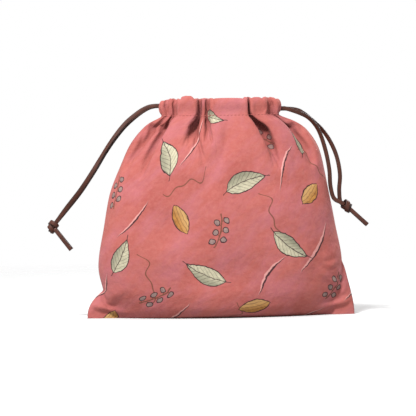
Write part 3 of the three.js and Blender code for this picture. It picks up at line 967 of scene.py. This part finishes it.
leather = leather_material()
make_lace(
    "left", -1, UPPER_LANE, LEFT_KNOT, LEFT_KNOT_AXIS, LEFT_KNOT_START, LEFT_TAIL_REACH,
    (LEFT_FRONT_STRAND, LEFT_BACK_STRAND), LEFT_TWISTS,
)
make_lace(
    "right", 1, LOWER_LANE, RIGHT_KNOT, RIGHT_KNOT_AXIS, RIGHT_KNOT_START, RIGHT_TAIL_REACH,
    (RIGHT_FRONT_STRAND, RIGHT_BACK_STRAND), RIGHT_TWISTS,
)


# Cloth


class Gathers:
    """How the cloth of a panel is gathered, at shares of its width."""

    def __init__(self, pieces, cloth):
        self.lobe, self.lift, self.depth, self.lean, self.folded = np.zeros((5, len(cloth)))
        self.run = np.ones_like(cloth)
        knots = []
        overhang = 0
        mouth = 0
        start = 0
        for mouth_share, cloth_share, folds, _, run, lean, lift in pieces:
            knots.append((start, mouth))
            inside = (cloth >= start) & (cloth <= start + cloth_share)
            share = (cloth[inside] - start) / cloth_share
            self.lift[inside] = lift * np.sin(np.pi * np.clip(share, 0, 1)) ** TOP_FLATNESS
            self.run[inside] = run
            if folds:
                spare = (cloth_share * PANEL_WIDTH) ** 2 - (mouth_share * MOUTH_LENGTH) ** 2
                wave = 0.5 - 0.5 * np.cos(2 * np.pi * folds * share)
                between = np.minimum(share, 1 - share) > 0.5 / folds
                self.lobe[inside] = np.where(between, mix(1, wave, RIDGE_SHARE), wave)
                self.depth[inside] = FOLD_STEEPNESS * math.sqrt(max(spare, 0)) / folds
                self.lean[inside] = np.where(share < 0.5 / folds, overhang * (1 - wave), 0)
                self.folded[inside] = 1
            else:
                self.lean[inside] = lean * share**2
            overhang = lean
            mouth += mouth_share
            start += cloth_share
        knots.append((1, 1))
        self.mouth = np.array([curve_through(knots, share) for share in cloth])
        self.dent = np.array([dent_at(pieces, share) for share in self.mouth])
        self.open = openness(self.mouth)


def fold_depth(gathers, height):
    """Depth of the folds at a height: pressed flat at the channel, then open, then fading out."""
    down = (CHANNEL_SEAM_HEIGHT - height) / gathers.run
    return mix(gathers.dent, gathers.depth, smooth(down, 0, FOLD_OPENS)) * (1 - smooth(down, FOLD_FADES, 1))


def base_row(cloth, share):
    """Row of the base, at a share of the way from the bottom seam to the wall."""
    point, _ = on_section(section_at(0), cloth)
    room = np.maximum(point[:, 1] - SEAM_GAP / 2, SEAM_GAP)
    y = SEAM_GAP / 2 + room * share
    return np.stack((point[:, 0], y, np.zeros_like(y)), -1)


def wall_row(gathers, cloth, height):
    """Row of the wall at a height, folded more towards the mouth."""
    section = section_at(height)
    gathered = np.clip((PANEL_WIDTH - section[2][-1]) / (PANEL_WIDTH - MOUTH_LENGTH), 0, 1)
    point, outward = on_section(section, mix(cloth, gathers.mouth, gathered))
    pinch = (1 - gathers.open) * smooth(height, CHANNEL_SEAM_HEIGHT - SLIT_HEIGHT, CHANNEL_SEAM_HEIGHT)
    depth = fold_depth(gathers, height)
    room = point[:, 1]
    fold = np.maximum(gathers.lobe, pinch) * depth * room / (depth + room + SEAM_GAP)
    point = point - outward * fold[:, None]
    point[:, 0] += gathers.lean * (1 - smooth((CHANNEL_SEAM_HEIGHT - height) / gathers.run, FOLD_FADES, 1))
    y = np.maximum(point[:, 1], SEAM_GAP / 2)
    return np.stack((point[:, 0], y, np.full_like(y, height)), -1)


def channel_row(gathers, angle):
    """Row of the channel at an angle around it, from its stitching over the top edge to the hem."""
    point, outward = on_section(MOUTH_SECTION, gathers.mouth)
    height = mix(CHANNEL_END_HEIGHT, CHANNEL_HEIGHT, gathers.open)
    power = mix(CHANNEL_END_POWER, CHANNEL_POWER, gathers.open)
    lobe = np.maximum(gathers.lobe, 1 - gathers.open)
    fold = lobe * gathers.dent * point[:, 1] / (gathers.dent + point[:, 1] + SEAM_GAP)
    outer = math.cos(angle) > 0
    bulge = CHANNEL_BULGE * (1 - lobe) if outer else -inner_bulge(gathers.dent, height, power)
    out = bulge * abs(math.cos(angle)) ** power - fold * (1 - smooth(angle, math.pi / 2, math.pi))
    lift = gathers.lift * gathers.open * (1 - lobe / 2) * max(math.sin(angle), 0)
    up = height / 2 * math.sin(angle) + lift
    flat = point + outward * out[:, None]
    flat[:, 0] += gathers.lean * (1 - smooth(angle, math.pi / 4, 3 * math.pi / 4))
    side = np.sign(gathers.mouth - 0.5)
    flat[:, 0] += side * END_NOSE * (1 - gathers.open) * max(math.cos(angle), 0)
    return np.concatenate((flat, (CHANNEL_CENTRE + up)[:, None]), -1)


def cloth_rows(gathers, cloth):
    """Rows of points up the cloth from the bottom seam to the hem edge, and the first row of the channel."""
    rounding = np.linspace(0, np.pi / 2, ROUNDING_STEPS, endpoint=False)
    heights = np.linspace(BASE_ROUNDING, CHANNEL_SEAM_HEIGHT, WALL_STEPS, endpoint=False)
    angles = np.radians(np.linspace(-90, -90 + CHANNEL_WRAP, CHANNEL_STEPS))
    rows = [base_row(cloth, share) for share in np.linspace(0, 1, BASE_STEPS, endpoint=False)]
    rows += [wall_row(gathers, cloth, height) for height in BASE_ROUNDING * (1 - np.cos(rounding))]
    rows += [wall_row(gathers, cloth, height) for height in heights]
    seam = len(rows)
    rows += [channel_row(gathers, angle) for angle in angles]
    return np.array(rows), seam


class Panel:
    """One panel behind the middle plane: points by rows up the cloth and columns across it."""

    def __init__(self, pieces):
        cloth = np.linspace(0, 1, CLOTH_COLUMNS + 1)
        gathers = Gathers(pieces, cloth)
        rows, seam = cloth_rows(gathers, cloth)
        self.gathers = gathers
        self.across = (cloth - 0.5) * PANEL_WIDTH
        plainest = int(np.argmin(gathers.lobe + np.abs(cloth - 0.5)))
        length = lengths_along(rows[:, plainest])
        top = seam + int(np.argmax(rows[seam:, plainest, 2]))
        self.places = np.linspace(0, length[-1], CLOTH_ROWS + 1)
        self.seam_row = int(np.argmin(np.abs(self.places - length[seam])))
        self.top_row = int(np.argmin(np.abs(self.places - length[top])))
        even = sample(self.places, length, rows.reshape(len(rows), -1))
        self.points = even.reshape(CLOTH_ROWS + 1, CLOTH_COLUMNS + 1, 3)


def outward_of(grid):
    """Unit normals of a grid of points, pointing away from the pouch's inside."""
    return unit(np.cross(np.gradient(grid, axis=0), np.gradient(grid, axis=1)))


# Settling of the cloth


def pull(points, weight, first, second, rest, stiffness):
    """Moves pairs of points towards their rest distance, each by its share of the weight."""
    a = points[first]
    b = points[second]
    apart = b - a
    distance = np.linalg.norm(apart, axis=-1, keepdims=True)
    share = weight[first] + weight[second]
    move = stiffness * (distance - rest[..., None]) * apart / np.maximum(distance * share[..., None], TINY)
    points[first] = a + move * weight[first][..., None]
    points[second] = b - move * weight[second][..., None]


def spread(points, weight, first, second, least):
    """Pushes apart points some steps from each other that a tight curl has brought too close."""
    apart = points[second] - points[first]
    distance = np.linalg.norm(apart, axis=-1)
    short = np.maximum(least - distance, 0) * CURL / np.maximum(distance, TINY)
    move = apart * (short / 2)[..., None]
    points[first] -= move * weight[first][..., None]
    points[second] += move * weight[second][..., None]


def keep_clear_of_laces(points, panel):
    """Keeps the outer face of a channel in front of the laces, and its inner layer behind them."""
    x, y, _ = MOUTH_SECTION
    slope = np.gradient(y, x)
    here = np.interp(points[..., 0], x, y)
    lean = 1 / np.hypot(1, np.interp(points[..., 0], x, slope))
    out = (points[..., 1] - here) * lean
    beside = np.abs(points[..., 2] - CHANNEL_CENTRE) < LANE_OFFSET + LACE_WIDTH / 2 + LACE_CLEARANCE
    rows = np.arange(len(points))[:, None]
    outer = (rows >= panel.seam_row) & (rows <= panel.top_row) & beside
    inner = (rows > panel.top_row) & beside
    front = -panel.gathers.dent
    back = -panel.gathers.dent - 2 * LACE_ROOM
    wanted = np.where(outer, np.maximum(out, front), np.where(inner, np.minimum(out, back), out))
    points[..., 1] += (wanted - out) / lean


def cloth_ties(panel):
    """Pairs of points, rest distances and stiffness: along the cloth, across it, slanting and two apart."""
    grid = panel.points
    height = grid[:, :-1, 2]
    rows, columns = grid.shape[:2]
    below = (CHANNEL_SEAM_HEIGHT - height) / panel.gathers.run[:-1]
    near_mouth = mix(CHANNEL_SLACK, SHOULDER_SLACK, smooth(below, *SLACK_RISE)) * panel.gathers.folded[:-1]
    slack = 1 + mix(near_mouth, BELLY_SLACK, smooth(below, *SLACK_FALL))
    start_across = np.linalg.norm(np.diff(grid, axis=1), axis=-1)
    across = np.clip(PANEL_WIDTH / CLOTH_COLUMNS, start_across, start_across * slack)
    along = np.linalg.norm(np.diff(grid, axis=0), axis=-1)
    wide = across[:, :-1] + across[:, 1:]
    tall = np.linalg.norm(grid[2:] - grid[:-2], axis=-1)
    growth = np.hypot(across[:-1], along[:, :-1]) / np.hypot(start_across[:-1], along[:, :-1])
    rising = np.linalg.norm(grid[1:, 1:] - grid[:-1, :-1], axis=-1) * growth
    falling = np.linalg.norm(grid[1:, :-1] - grid[:-1, 1:], axis=-1) * growth
    every = slice(None)
    left = slice(0, columns - 1)
    right = slice(1, columns)
    # Each tie joins one set of pairs, in which no point is used twice
    ties = []
    for start in (0, 1):
        a = np.arange(start, columns - 1, 2)
        ties.append(((every, a), (every, a + 1), across[:, a], STRETCH))
        a = np.arange(start, rows - 1, 2)
        ties.append(((a, every), (a + 1, every), along[a], STRETCH))
        ties.append(((a, left), (a + 1, right), rising[a], SHEAR))
        ties.append(((a, right), (a + 1, left), falling[a], SHEAR))
    for start in range(4):
        a = np.arange(start, columns - 2, 4)
        ties.append(((every, a), (every, a + 2), wide[:, a], BENDING))
        a = np.arange(start, rows - 2, 4)
        ties.append(((a, every), (a + 2, every), tall[a], BENDING))
    least_across = CURL_LEAST * sum(across[:, i : columns - CURL_STEP + i] for i in range(CURL_STEP))
    least_along = CURL_LEAST * sum(along[i : rows - CURL_STEP + i] for i in range(CURL_STEP))
    near = slice(0, -CURL_STEP)
    far = slice(CURL_STEP, None)
    return ties, (((every, near), (every, far), least_across), ((near, every), (far, every), least_along))


def settle(panel, seed):
    """Lets the cloth of one panel buckle to its true width between its seams, by position based dynamics."""
    grid = panel.points
    height = grid[:, :, 2]
    free = np.ones(height.shape)
    free[:, :HELD_COLUMNS] = 0
    free[:, -HELD_COLUMNS:] = 0
    free[-HELD_ROWS:] = 0
    free[height < HELD_HEIGHT] = 0
    ties, curls = cloth_ties(panel)
    cap = mix(SHOULDER_CAP, BELLY_CAP, smooth(CHANNEL_SEAM_HEIGHT - height, *CAP_CHANGE))
    cap = cap * smooth(height, 0, BASE_CAP_RISE)
    rng = np.random.default_rng(seed)
    points = grid + rng.normal(0, SETTLE_START, grid.shape) * free[..., None]
    speed = np.zeros_like(points)
    for _ in range(SETTLE_STEPS):
        speed = SETTLE_DAMPING * speed + SETTLE_PRESSURE * outward_of(points) * free[..., None]
        speed[panel.seam_row :] *= CHANNEL_SPEED
        speed[..., 2] -= SETTLE_WEIGHT * free
        before = points.copy()
        points = points + speed
        for _ in range(SETTLE_ROUNDS):
            for tie in ties:
                pull(points, free, *tie)
            for curl in curls:
                spread(points, free, *curl)
        keep_clear_of_laces(points, panel)
        moved = points - grid
        distance = np.linalg.norm(moved, axis=-1)
        points = grid + moved * np.minimum(1, cap / np.maximum(distance, TINY))[..., None]
        points[..., 1] = np.maximum(points[..., 1], SEAM_GAP / 2)
        points[..., 2] = np.maximum(points[..., 2], 0)
        speed = points - before
        size = np.linalg.norm(speed, axis=-1, keepdims=True)
        speed = speed * np.minimum(1, SETTLE_SPEED / np.maximum(size, TINY))
    return points


# Panels


def pressed(x, z, marks):
    """Depth of a list of long soft marks at places on a wall."""
    total = np.zeros_like(x)
    for middle_x, middle_z, length, width, degrees, depth in marks:
        angle = math.radians(degrees)
        along = (x - middle_x) * math.cos(angle) + (z - middle_z) * math.sin(angle)
        beside = (z - middle_z) * math.cos(angle) - (x - middle_x) * math.sin(angle)
        total += depth * np.exp(-((along / length) ** 2) - (beside / width) ** 2)
    return total


def soften(panel, valleys, ridges, seed):
    """Presses soft valleys, ridges and faint waves into the wall of a panel, as loose contents leave them."""
    x = panel.points[..., 0]
    z = panel.points[..., 2]
    rng = np.random.default_rng(seed)
    dent = pressed(x, z, valleys)
    for _ in range(WAVES):
        turn = rng.uniform(0, np.pi)
        reach = rng.uniform(*WAVE_REACH)
        phase = rng.uniform(0, 2 * np.pi)
        wave = np.sin(2 * np.pi * (x * math.cos(turn) + z * math.sin(turn)) / reach + phase)
        dent += WAVE_STEEPNESS * reach * wave
    wall = np.arange(len(x))[:, None] < panel.seam_row
    inside = smooth(z, 0, BASE_FADE) * smooth(CHANNEL_SEAM_HEIGHT - z, 0, CHANNEL_SEAM_FADE)
    room = smooth(panel.points[..., 1], 0, ROOM_FADE)
    edge = np.minimum(panel.across + PANEL_WIDTH / 2, PANEL_WIDTH / 2 - panel.across)
    rise = pressed(x, z, ridges) * smooth(edge, 0, SIDE_SEAM_FADE)
    move = (rise - dent * room) * wall * inside
    panel.points = panel.points + outward_of(panel.points) * move[..., None]


def sheet_object(name, outer, inner, flip, materials):
    """A closed sheet between an outer and an inner grid: the outer face has the first material."""
    rows, columns = outer.shape[:2]
    count = rows * columns
    index = np.arange(count).reshape(rows, columns)
    face = np.stack((index[:-1, :-1], index[1:, :-1], index[1:, 1:], index[:-1, 1:]), -1).reshape(-1, 4)
    around = np.concatenate((index[0, :-1], index[:-1, -1], index[-1, :0:-1], index[:0:-1, 0]))
    after = np.roll(around, -1)
    rim = np.stack((around, after, after + count, around + count), -1)
    faces = np.concatenate((face, face[:, ::-1] + count, rim))
    points = np.concatenate((outer.reshape(-1, 3), inner.reshape(-1, 3)))
    obj = new_object(name, points, faces[:, ::-1] if flip else faces, materials)
    indices = np.zeros(len(faces), dtype=np.int32)
    indices[len(face) : 2 * len(face)] = 1
    obj.data.polygons.foreach_set("material_index", indices)
    return obj


def make_panel(name, pieces, valleys, ridges, front, seed, print_offset):
    """One panel of cloth with its print and its stitching."""
    panel = Panel(pieces)
    soften(panel, valleys, ridges, seed)
    panel.points = settle(panel, seed)
    outward = outward_of(panel.points)
    inner = panel.points - outward * CLOTH_THICKNESS
    inner[..., 1:] = np.maximum(inner[..., 1:], SEAM_GAP / 8)
    side = np.array((1, -1 if front else 1, 1))
    panel.points = panel.points * side
    panel.outward = outward * side
    obj = sheet_object(name + "_cloth", panel.points, inner * side, front, [cotton, reverse])
    place = np.zeros((*panel.points.shape[:2], 3), dtype=np.float32)
    place[..., 0] = print_offset[0] - side[1] * panel.across
    place[..., 1] = print_offset[1] + panel.places[:, None]
    flat = obj.data.attributes.new("cloth", "FLOAT_VECTOR", "POINT")
    flat.data.foreach_set("vector", np.concatenate((place, place)).ravel())
    add_piece(obj, "printed_cotton", name)
    stitches = make_stitching(name, panel)


def make_stitching(name, panel):
    """A row of short stitches through the channel's lower edge, each one arched out of the cloth."""
    line = panel.points[panel.seam_row]
    outward = panel.outward[panel.seam_row]
    length = lengths_along(line)
    angles = np.linspace(0, 2 * np.pi, THREAD_SIDES, endpoint=False)
    section = np.stack((np.cos(angles), np.sin(angles)), -1) * THREAD_THICKNESS / 2
    shares = np.linspace(0, 1, THREAD_RINGS)
    arch = (np.sin(np.pi * shares) - STITCH_SINK) * THREAD_THICKNESS
    points = []
    faces = []
    for start in np.arange(STITCH_GAP, length[-1] - STITCH_LENGTH, STITCH_LENGTH + STITCH_GAP):
        places = start + shares * STITCH_LENGTH
        out = unit(sample(places, length, outward))
        middle = sample(places, length, line) + out * arch[:, None]
        beside = np.cross(np.gradient(middle, axis=0), out)
        stitch = tube(middle, beside, section, len(points) * THREAD_RINGS * THREAD_SIDES)
        points.append(stitch[0])
        faces += stitch[1]
    obj = new_object(name + "_stitching", np.vstack(points), faces, [thread])
    return add_piece(obj, "printed_cotton")


# Printed cotton


def turned(x, y, place):
    """Coordinates of the print around a motif: along it and across it, in millimetres."""
    middle_x, middle_y, degrees = place
    angle = math.radians(degrees)
    near_x = (x - middle_x).calc("WRAP", PRINT_REPEAT[0] / 2, -PRINT_REPEAT[0] / 2)
    near_y = (y - middle_y).calc("WRAP", PRINT_REPEAT[1] / 2, -PRINT_REPEAT[1] / 2)
    along = near_x * math.cos(angle) + near_y * math.sin(angle)
    across = near_y * math.cos(angle) - near_x * math.sin(angle)
    return along, across


def bowed(along, reach, bow):
    """How far a curved motif swings to the side at a place along it."""
    return (along / reach) ** 2 * bow


def swell(along, reach):
    """How full a motif is at a place along it: 1 in its middle, 0 at its ends."""
    return (along / reach).calc("MULTIPLY", along / -reach).plus(1.0, 1.0).most(0.0)


def within(value, reach, softness=EDGE_SOFT):
    """1 where a value lies within a reach of 0, fading out at its limit."""
    return abs(value).below(reach, softness)


def leaf(colour, along, across, mottle, reach, breadth, bow):
    """A leaf with a dark outline, a midrib, slanting veins and a stem."""
    side = across - bowed(abs(along), reach, bow)
    edge = abs(side) - swell(along, reach) * along.plus(-LEAF_TAPER / reach, 1.0) * breadth
    fill = blend(mottle, *LEAF_TONES[:2])
    shadow = side.above(*(breadth * share for share in LEAF_SHADOW))
    fill = blend(shadow * LEAF_SHADOW_INK, fill, LEAF_TONES[2])
    colour = blend(edge.below(0.0, EDGE_SOFT) * within(along, reach), colour, fill)
    slant = (along - abs(side) * VEIN_SLANT).calc("PINGPONG", VEIN_SPACING / 2)
    vein = slant.below(VEIN_WIDTH, VEIN_SOFT) * edge.below(-VEIN_INSET, EDGE_SOFT)
    colour = blend(vein * VEIN_INK, colour, INK)
    colour = blend(within(edge, OUTLINE) * within(along, reach * LEAF_TIP), colour, INK)
    rib = within(side, RIB_WIDTH, VEIN_SOFT) * within(along, reach * LEAF_STEM, END_SOFT)
    return blend(rib * RIB_INK, colour, INK)


def pod(colour, along, across, mottle, reach, breadth):
    """A plump seed pod with a dark outline, bands along it and a bright side."""
    full = swell(along, reach)
    edge = abs(across) - full.calc("SQRT") * full.plus(*POD_ROUNDNESS) * breadth
    fill = blend(mottle, *POD_TONES[:2])
    fill = blend(across.above(0.0, breadth) * POD_SHINE_INK, fill, POD_TONES[2])
    colour = blend(edge.below(0.0, EDGE_SOFT) * within(along, reach), colour, fill)
    band = (across + bowed(along, reach, BAND_BOW)).calc("PINGPONG", BAND_SPACING / 2)
    bands = band.below(VEIN_WIDTH, VEIN_SOFT) * edge.below(-BAND_INSET, EDGE_SOFT)
    colour = blend(bands * BAND_INK, colour, INK)
    return blend(within(edge, OUTLINE) * within(along, reach * POD_TIP), colour, INK)


def sprig(colour, along, across, mottle, reach):
    """A sprig of round berries on short stalks along a curved stem."""
    side = across - bowed(along, reach, SPRIG_BOW)
    stem = within(side, TENDRIL_WIDTH, LINE_SOFT) * within(along, reach, END_SOFT)
    colour = blend(stem * STEM_INK, colour, STEM)
    fill = blend(mottle, *BERRY_TONES)
    for sign in (1, -1):
        spot = (along + sign * BERRY_SPACING / 4).calc("WRAP", BERRY_SPACING / 2, -BERRY_SPACING / 2)
        whole = within(along - spot, reach - BERRY_RADIUS, BERRY_SOFT)
        rise = side * sign - BERRY_STALK
        stalk = within(spot - rise * STALK_SLANT, STALK_WIDTH, LINE_SOFT) * within(rise, BERRY_STALK)
        colour = blend(stalk * rise.below(0.0, EDGE_SOFT) * whole * STEM_INK, colour, STEM)
        edge = (spot * spot + rise * rise).calc("SQRT") - BERRY_RADIUS
        colour = blend(edge.below(0.0, EDGE_SOFT) * whole, colour, fill)
        colour = blend(within(edge, BERRY_OUTLINE, LINE_SOFT) * whole, colour, INK)
    return colour


def blade(colour, along, across, reach, breadth, bow):
    """A slim grass blade: a dark stroke with a pale half beside it."""
    side = across - bowed(along, reach, bow)
    full = swell(along, reach)
    pale = (side - full * breadth).below(0.0, EDGE_SOFT) * side.above(0.0, EDGE_SOFT)
    colour = blend(pale * within(along, reach) * PALE_INK, colour, BLADE_PALE)
    stroke = (abs(side) - full * BLADE_STROKE).below(0.0, LINE_SOFT)
    return blend(stroke * within(along, reach) * STROKE_INK, colour, INK)


def tendril(colour, along, across, reach, swing):
    """A thin curling stem."""
    turn = along.plus(TENDRIL_TURN / reach, TENDRIL_PHASE).calc("SINE")
    wave = turn * along.plus(swing / reach, swing * TENDRIL_SWING)
    line = within(across - wave, TENDRIL_WIDTH, LINE_SOFT) * within(along, reach, END_SOFT)
    return blend(line * TENDRIL_INK, colour, STEM)


def cloth_place(tree):
    """Where a point lies on the flat cloth, in millimetres: the vector and its two coordinates."""
    flat = add_node(tree, "Attribute", {}, attribute_name="cloth")["Vector"]
    split = add_node(tree, "SeparateXYZ", {0: flat})
    return flat, Field(tree, split["X"]), Field(tree, split["Y"])


def ground(tree, flat, x, y, tones):
    """Watery dyed ground: a broad wash, slanting streaks and a finer bloom."""
    slanting = combine((x + y) * STREAK_STRETCH[0], (x - y) * STREAK_STRETCH[1], 0.0)
    colour = tones[0]
    for place, tone, (wash, limits, share) in zip((flat, slanting, flat), tones[1:], WASHES):
        colour = blend(noise(tree, place, *wash).above(*limits) * share, colour, tone)
    return colour


def weave(tree, x, y):
    """Height of a plain weave: two crossing sets of uneven yarns."""
    long, short = YARN_FINENESS
    warp = noise(tree, combine(x * short, y * long, 0.0), 1.0, detail=2.0)
    weft = noise(tree, combine(x * long, y * short, WEFT_APART), 1.0, detail=2.0)
    return warp.most(weft)


def cloth_looks(tree, flat, x, y, colour):
    """Looks of the cloth: painted shade darkening its folds, matte roughness, a little sheen, the relief of
    weave and crumples.
    """
    # Painted shade: the colour darkens towards a deep red where the cloth's own folds hide it from the open
    reach = {"Distance": FOLD_SHADE_REACH * MM}
    occlusion = add_node(tree, "AmbientOcclusion", reach, samples=FOLD_SHADE_SAMPLES, only_local=True)["AO"]
    fold_shade = Field(tree, occlusion).below(*FOLD_SHADE_LIMITS)
    relief = weave(tree, x, y) * WEAVE_RELIEF + noise(tree, flat, *CRUMPLE)
    return {
        "Base Color": blend(fold_shade * FOLD_SHADE_SHARE, colour, FOLD_SHADE_TONE),
        "Roughness": noise(tree, flat, *SLUB).plus(*CLOTH_ROUGHNESS),
        "Specular IOR Level": CLOTH_GLOSS,
        "Sheen Weight": SHEEN,
        "Sheen Roughness": SHEEN_ROUGHNESS,
        "Sheen Tint": (*shade(*SHEEN_TONE), 1),
        "Normal": bump(tree, relief, *CLOTH_RELIEF),
    }


def cotton_material():
    """Coral cotton with watery washes and a loose print of leaves, pods, berries and grass blades."""
    material, tree = new_material("printed_cotton")
    flat, x, y = cloth_place(tree)
    colour = ground(tree, flat, x, y, COTTON_TONES)
    mottle = noise(tree, flat, *MOTTLE).above(*MOTTLE_EDGE)
    drawn = []
    for axis, scale in zip((x, y), WOBBLE_SCALES):
        drawn.append(axis + noise(tree, flat, scale, detail=2.0).plus(WOBBLE, -WOBBLE / 2))
    for place, *sizes in BLADES:
        colour = blade(colour, *turned(*drawn, place), *sizes)
    for place, *sizes in TENDRILS:
        colour = tendril(colour, *turned(x, y, place), *sizes)
    for motif, places in ((leaf, LEAVES), (pod, PODS), (sprig, SPRIGS)):
        for place, *sizes in places:
            colour = motif(colour, *turned(*drawn, place), mottle, *sizes)
    return with_looks(material, cloth_looks(tree, flat, x, y, colour))


def reverse_material():
    """The paler back of the cotton, where the dye shows through."""
    material, tree = new_material("cotton_reverse")
    flat, x, y = cloth_place(tree)
    colour = ground(tree, flat, x, y, REVERSE_TONES)
    return with_looks(material, cloth_looks(tree, flat, x, y, colour))


def thread_material():
    """Sewing thread: twisted strands, a little darker than the cloth."""
    material, tree = new_material("stitch_thread")
    twist = noise(tree, object_place(tree), TWIST_SCALE, detail=2.0)
    looks = {
        "Base Color": blend(twist, *THREAD_TONES),
        "Roughness": twist.plus(*THREAD_ROUGHNESS),
        "Normal": bump(tree, twist, *THREAD_RELIEF),
    }
    return with_looks(material, looks)


cotton = cotton_material()
reverse = reverse_material()
thread = thread_material()
make_panel("front_panel", FRONT_GATHERS, FRONT_VALLEYS, FRONT_RIDGES, True, FRONT_SEED, (0.0, 0.0))
make_panel("back_panel", BACK_GATHERS, BACK_VALLEYS, BACK_RIDGES, False, BACK_SEED, BACK_PRINT_OFFSET)


# Studio


def stage_material():
    """White paper: nearly plain, with a faint tooth, fading out far from the pouch."""
    material, tree = new_material("studio_paper")
    place = object_place(tree)
    near, far = PAPER_FADE
    distance = Field(tree, add_node(tree, "VectorMath", {0: place}, operation="LENGTH")["Value"])
    looks = {
        "Base Color": blend(noise(tree, place, PAPER_TOOTH), *PAPER_TONES),
        "Roughness": PAPER_ROUGHNESS,
        "Alpha": distance.below((near + far) / 2, far - near),
    }
    return with_looks(material, looks)


def add_lamp(name, place, aim, size, power):
    light = bpy.data.lights.new(name, "AREA")
    light.shape = "DISK"
    light.size = size
    light.energy = power
    lamp = add_object(name, light)
    lamp.location = place
    lamp.rotation_euler = (Vector(aim) - Vector(place)).to_track_quat("-Z", "Y").to_euler()


def make_stage():
    reach = PAPER_FADE[1] / MM
    corners = [(-reach, -reach, 0), (reach, -reach, 0), (reach, reach, 0), (-reach, reach, 0)]
    new_object("floor", corners, [(0, 1, 2, 3)], [stage_material()])
    world = bpy.data.worlds.new("studio")
    bpy.context.scene.world = world
    world.use_nodes = True
    background = world.node_tree.nodes["Background"]
    background.inputs["Color"].default_value = (1, 1, 1, 1)
    background.inputs["Strength"].default_value = WORLD_LIGHT
    for lamp in LAMPS:
        add_lamp(*lamp)


make_stage()
bpy.context.scene.view_settings.view_transform = "Standard"
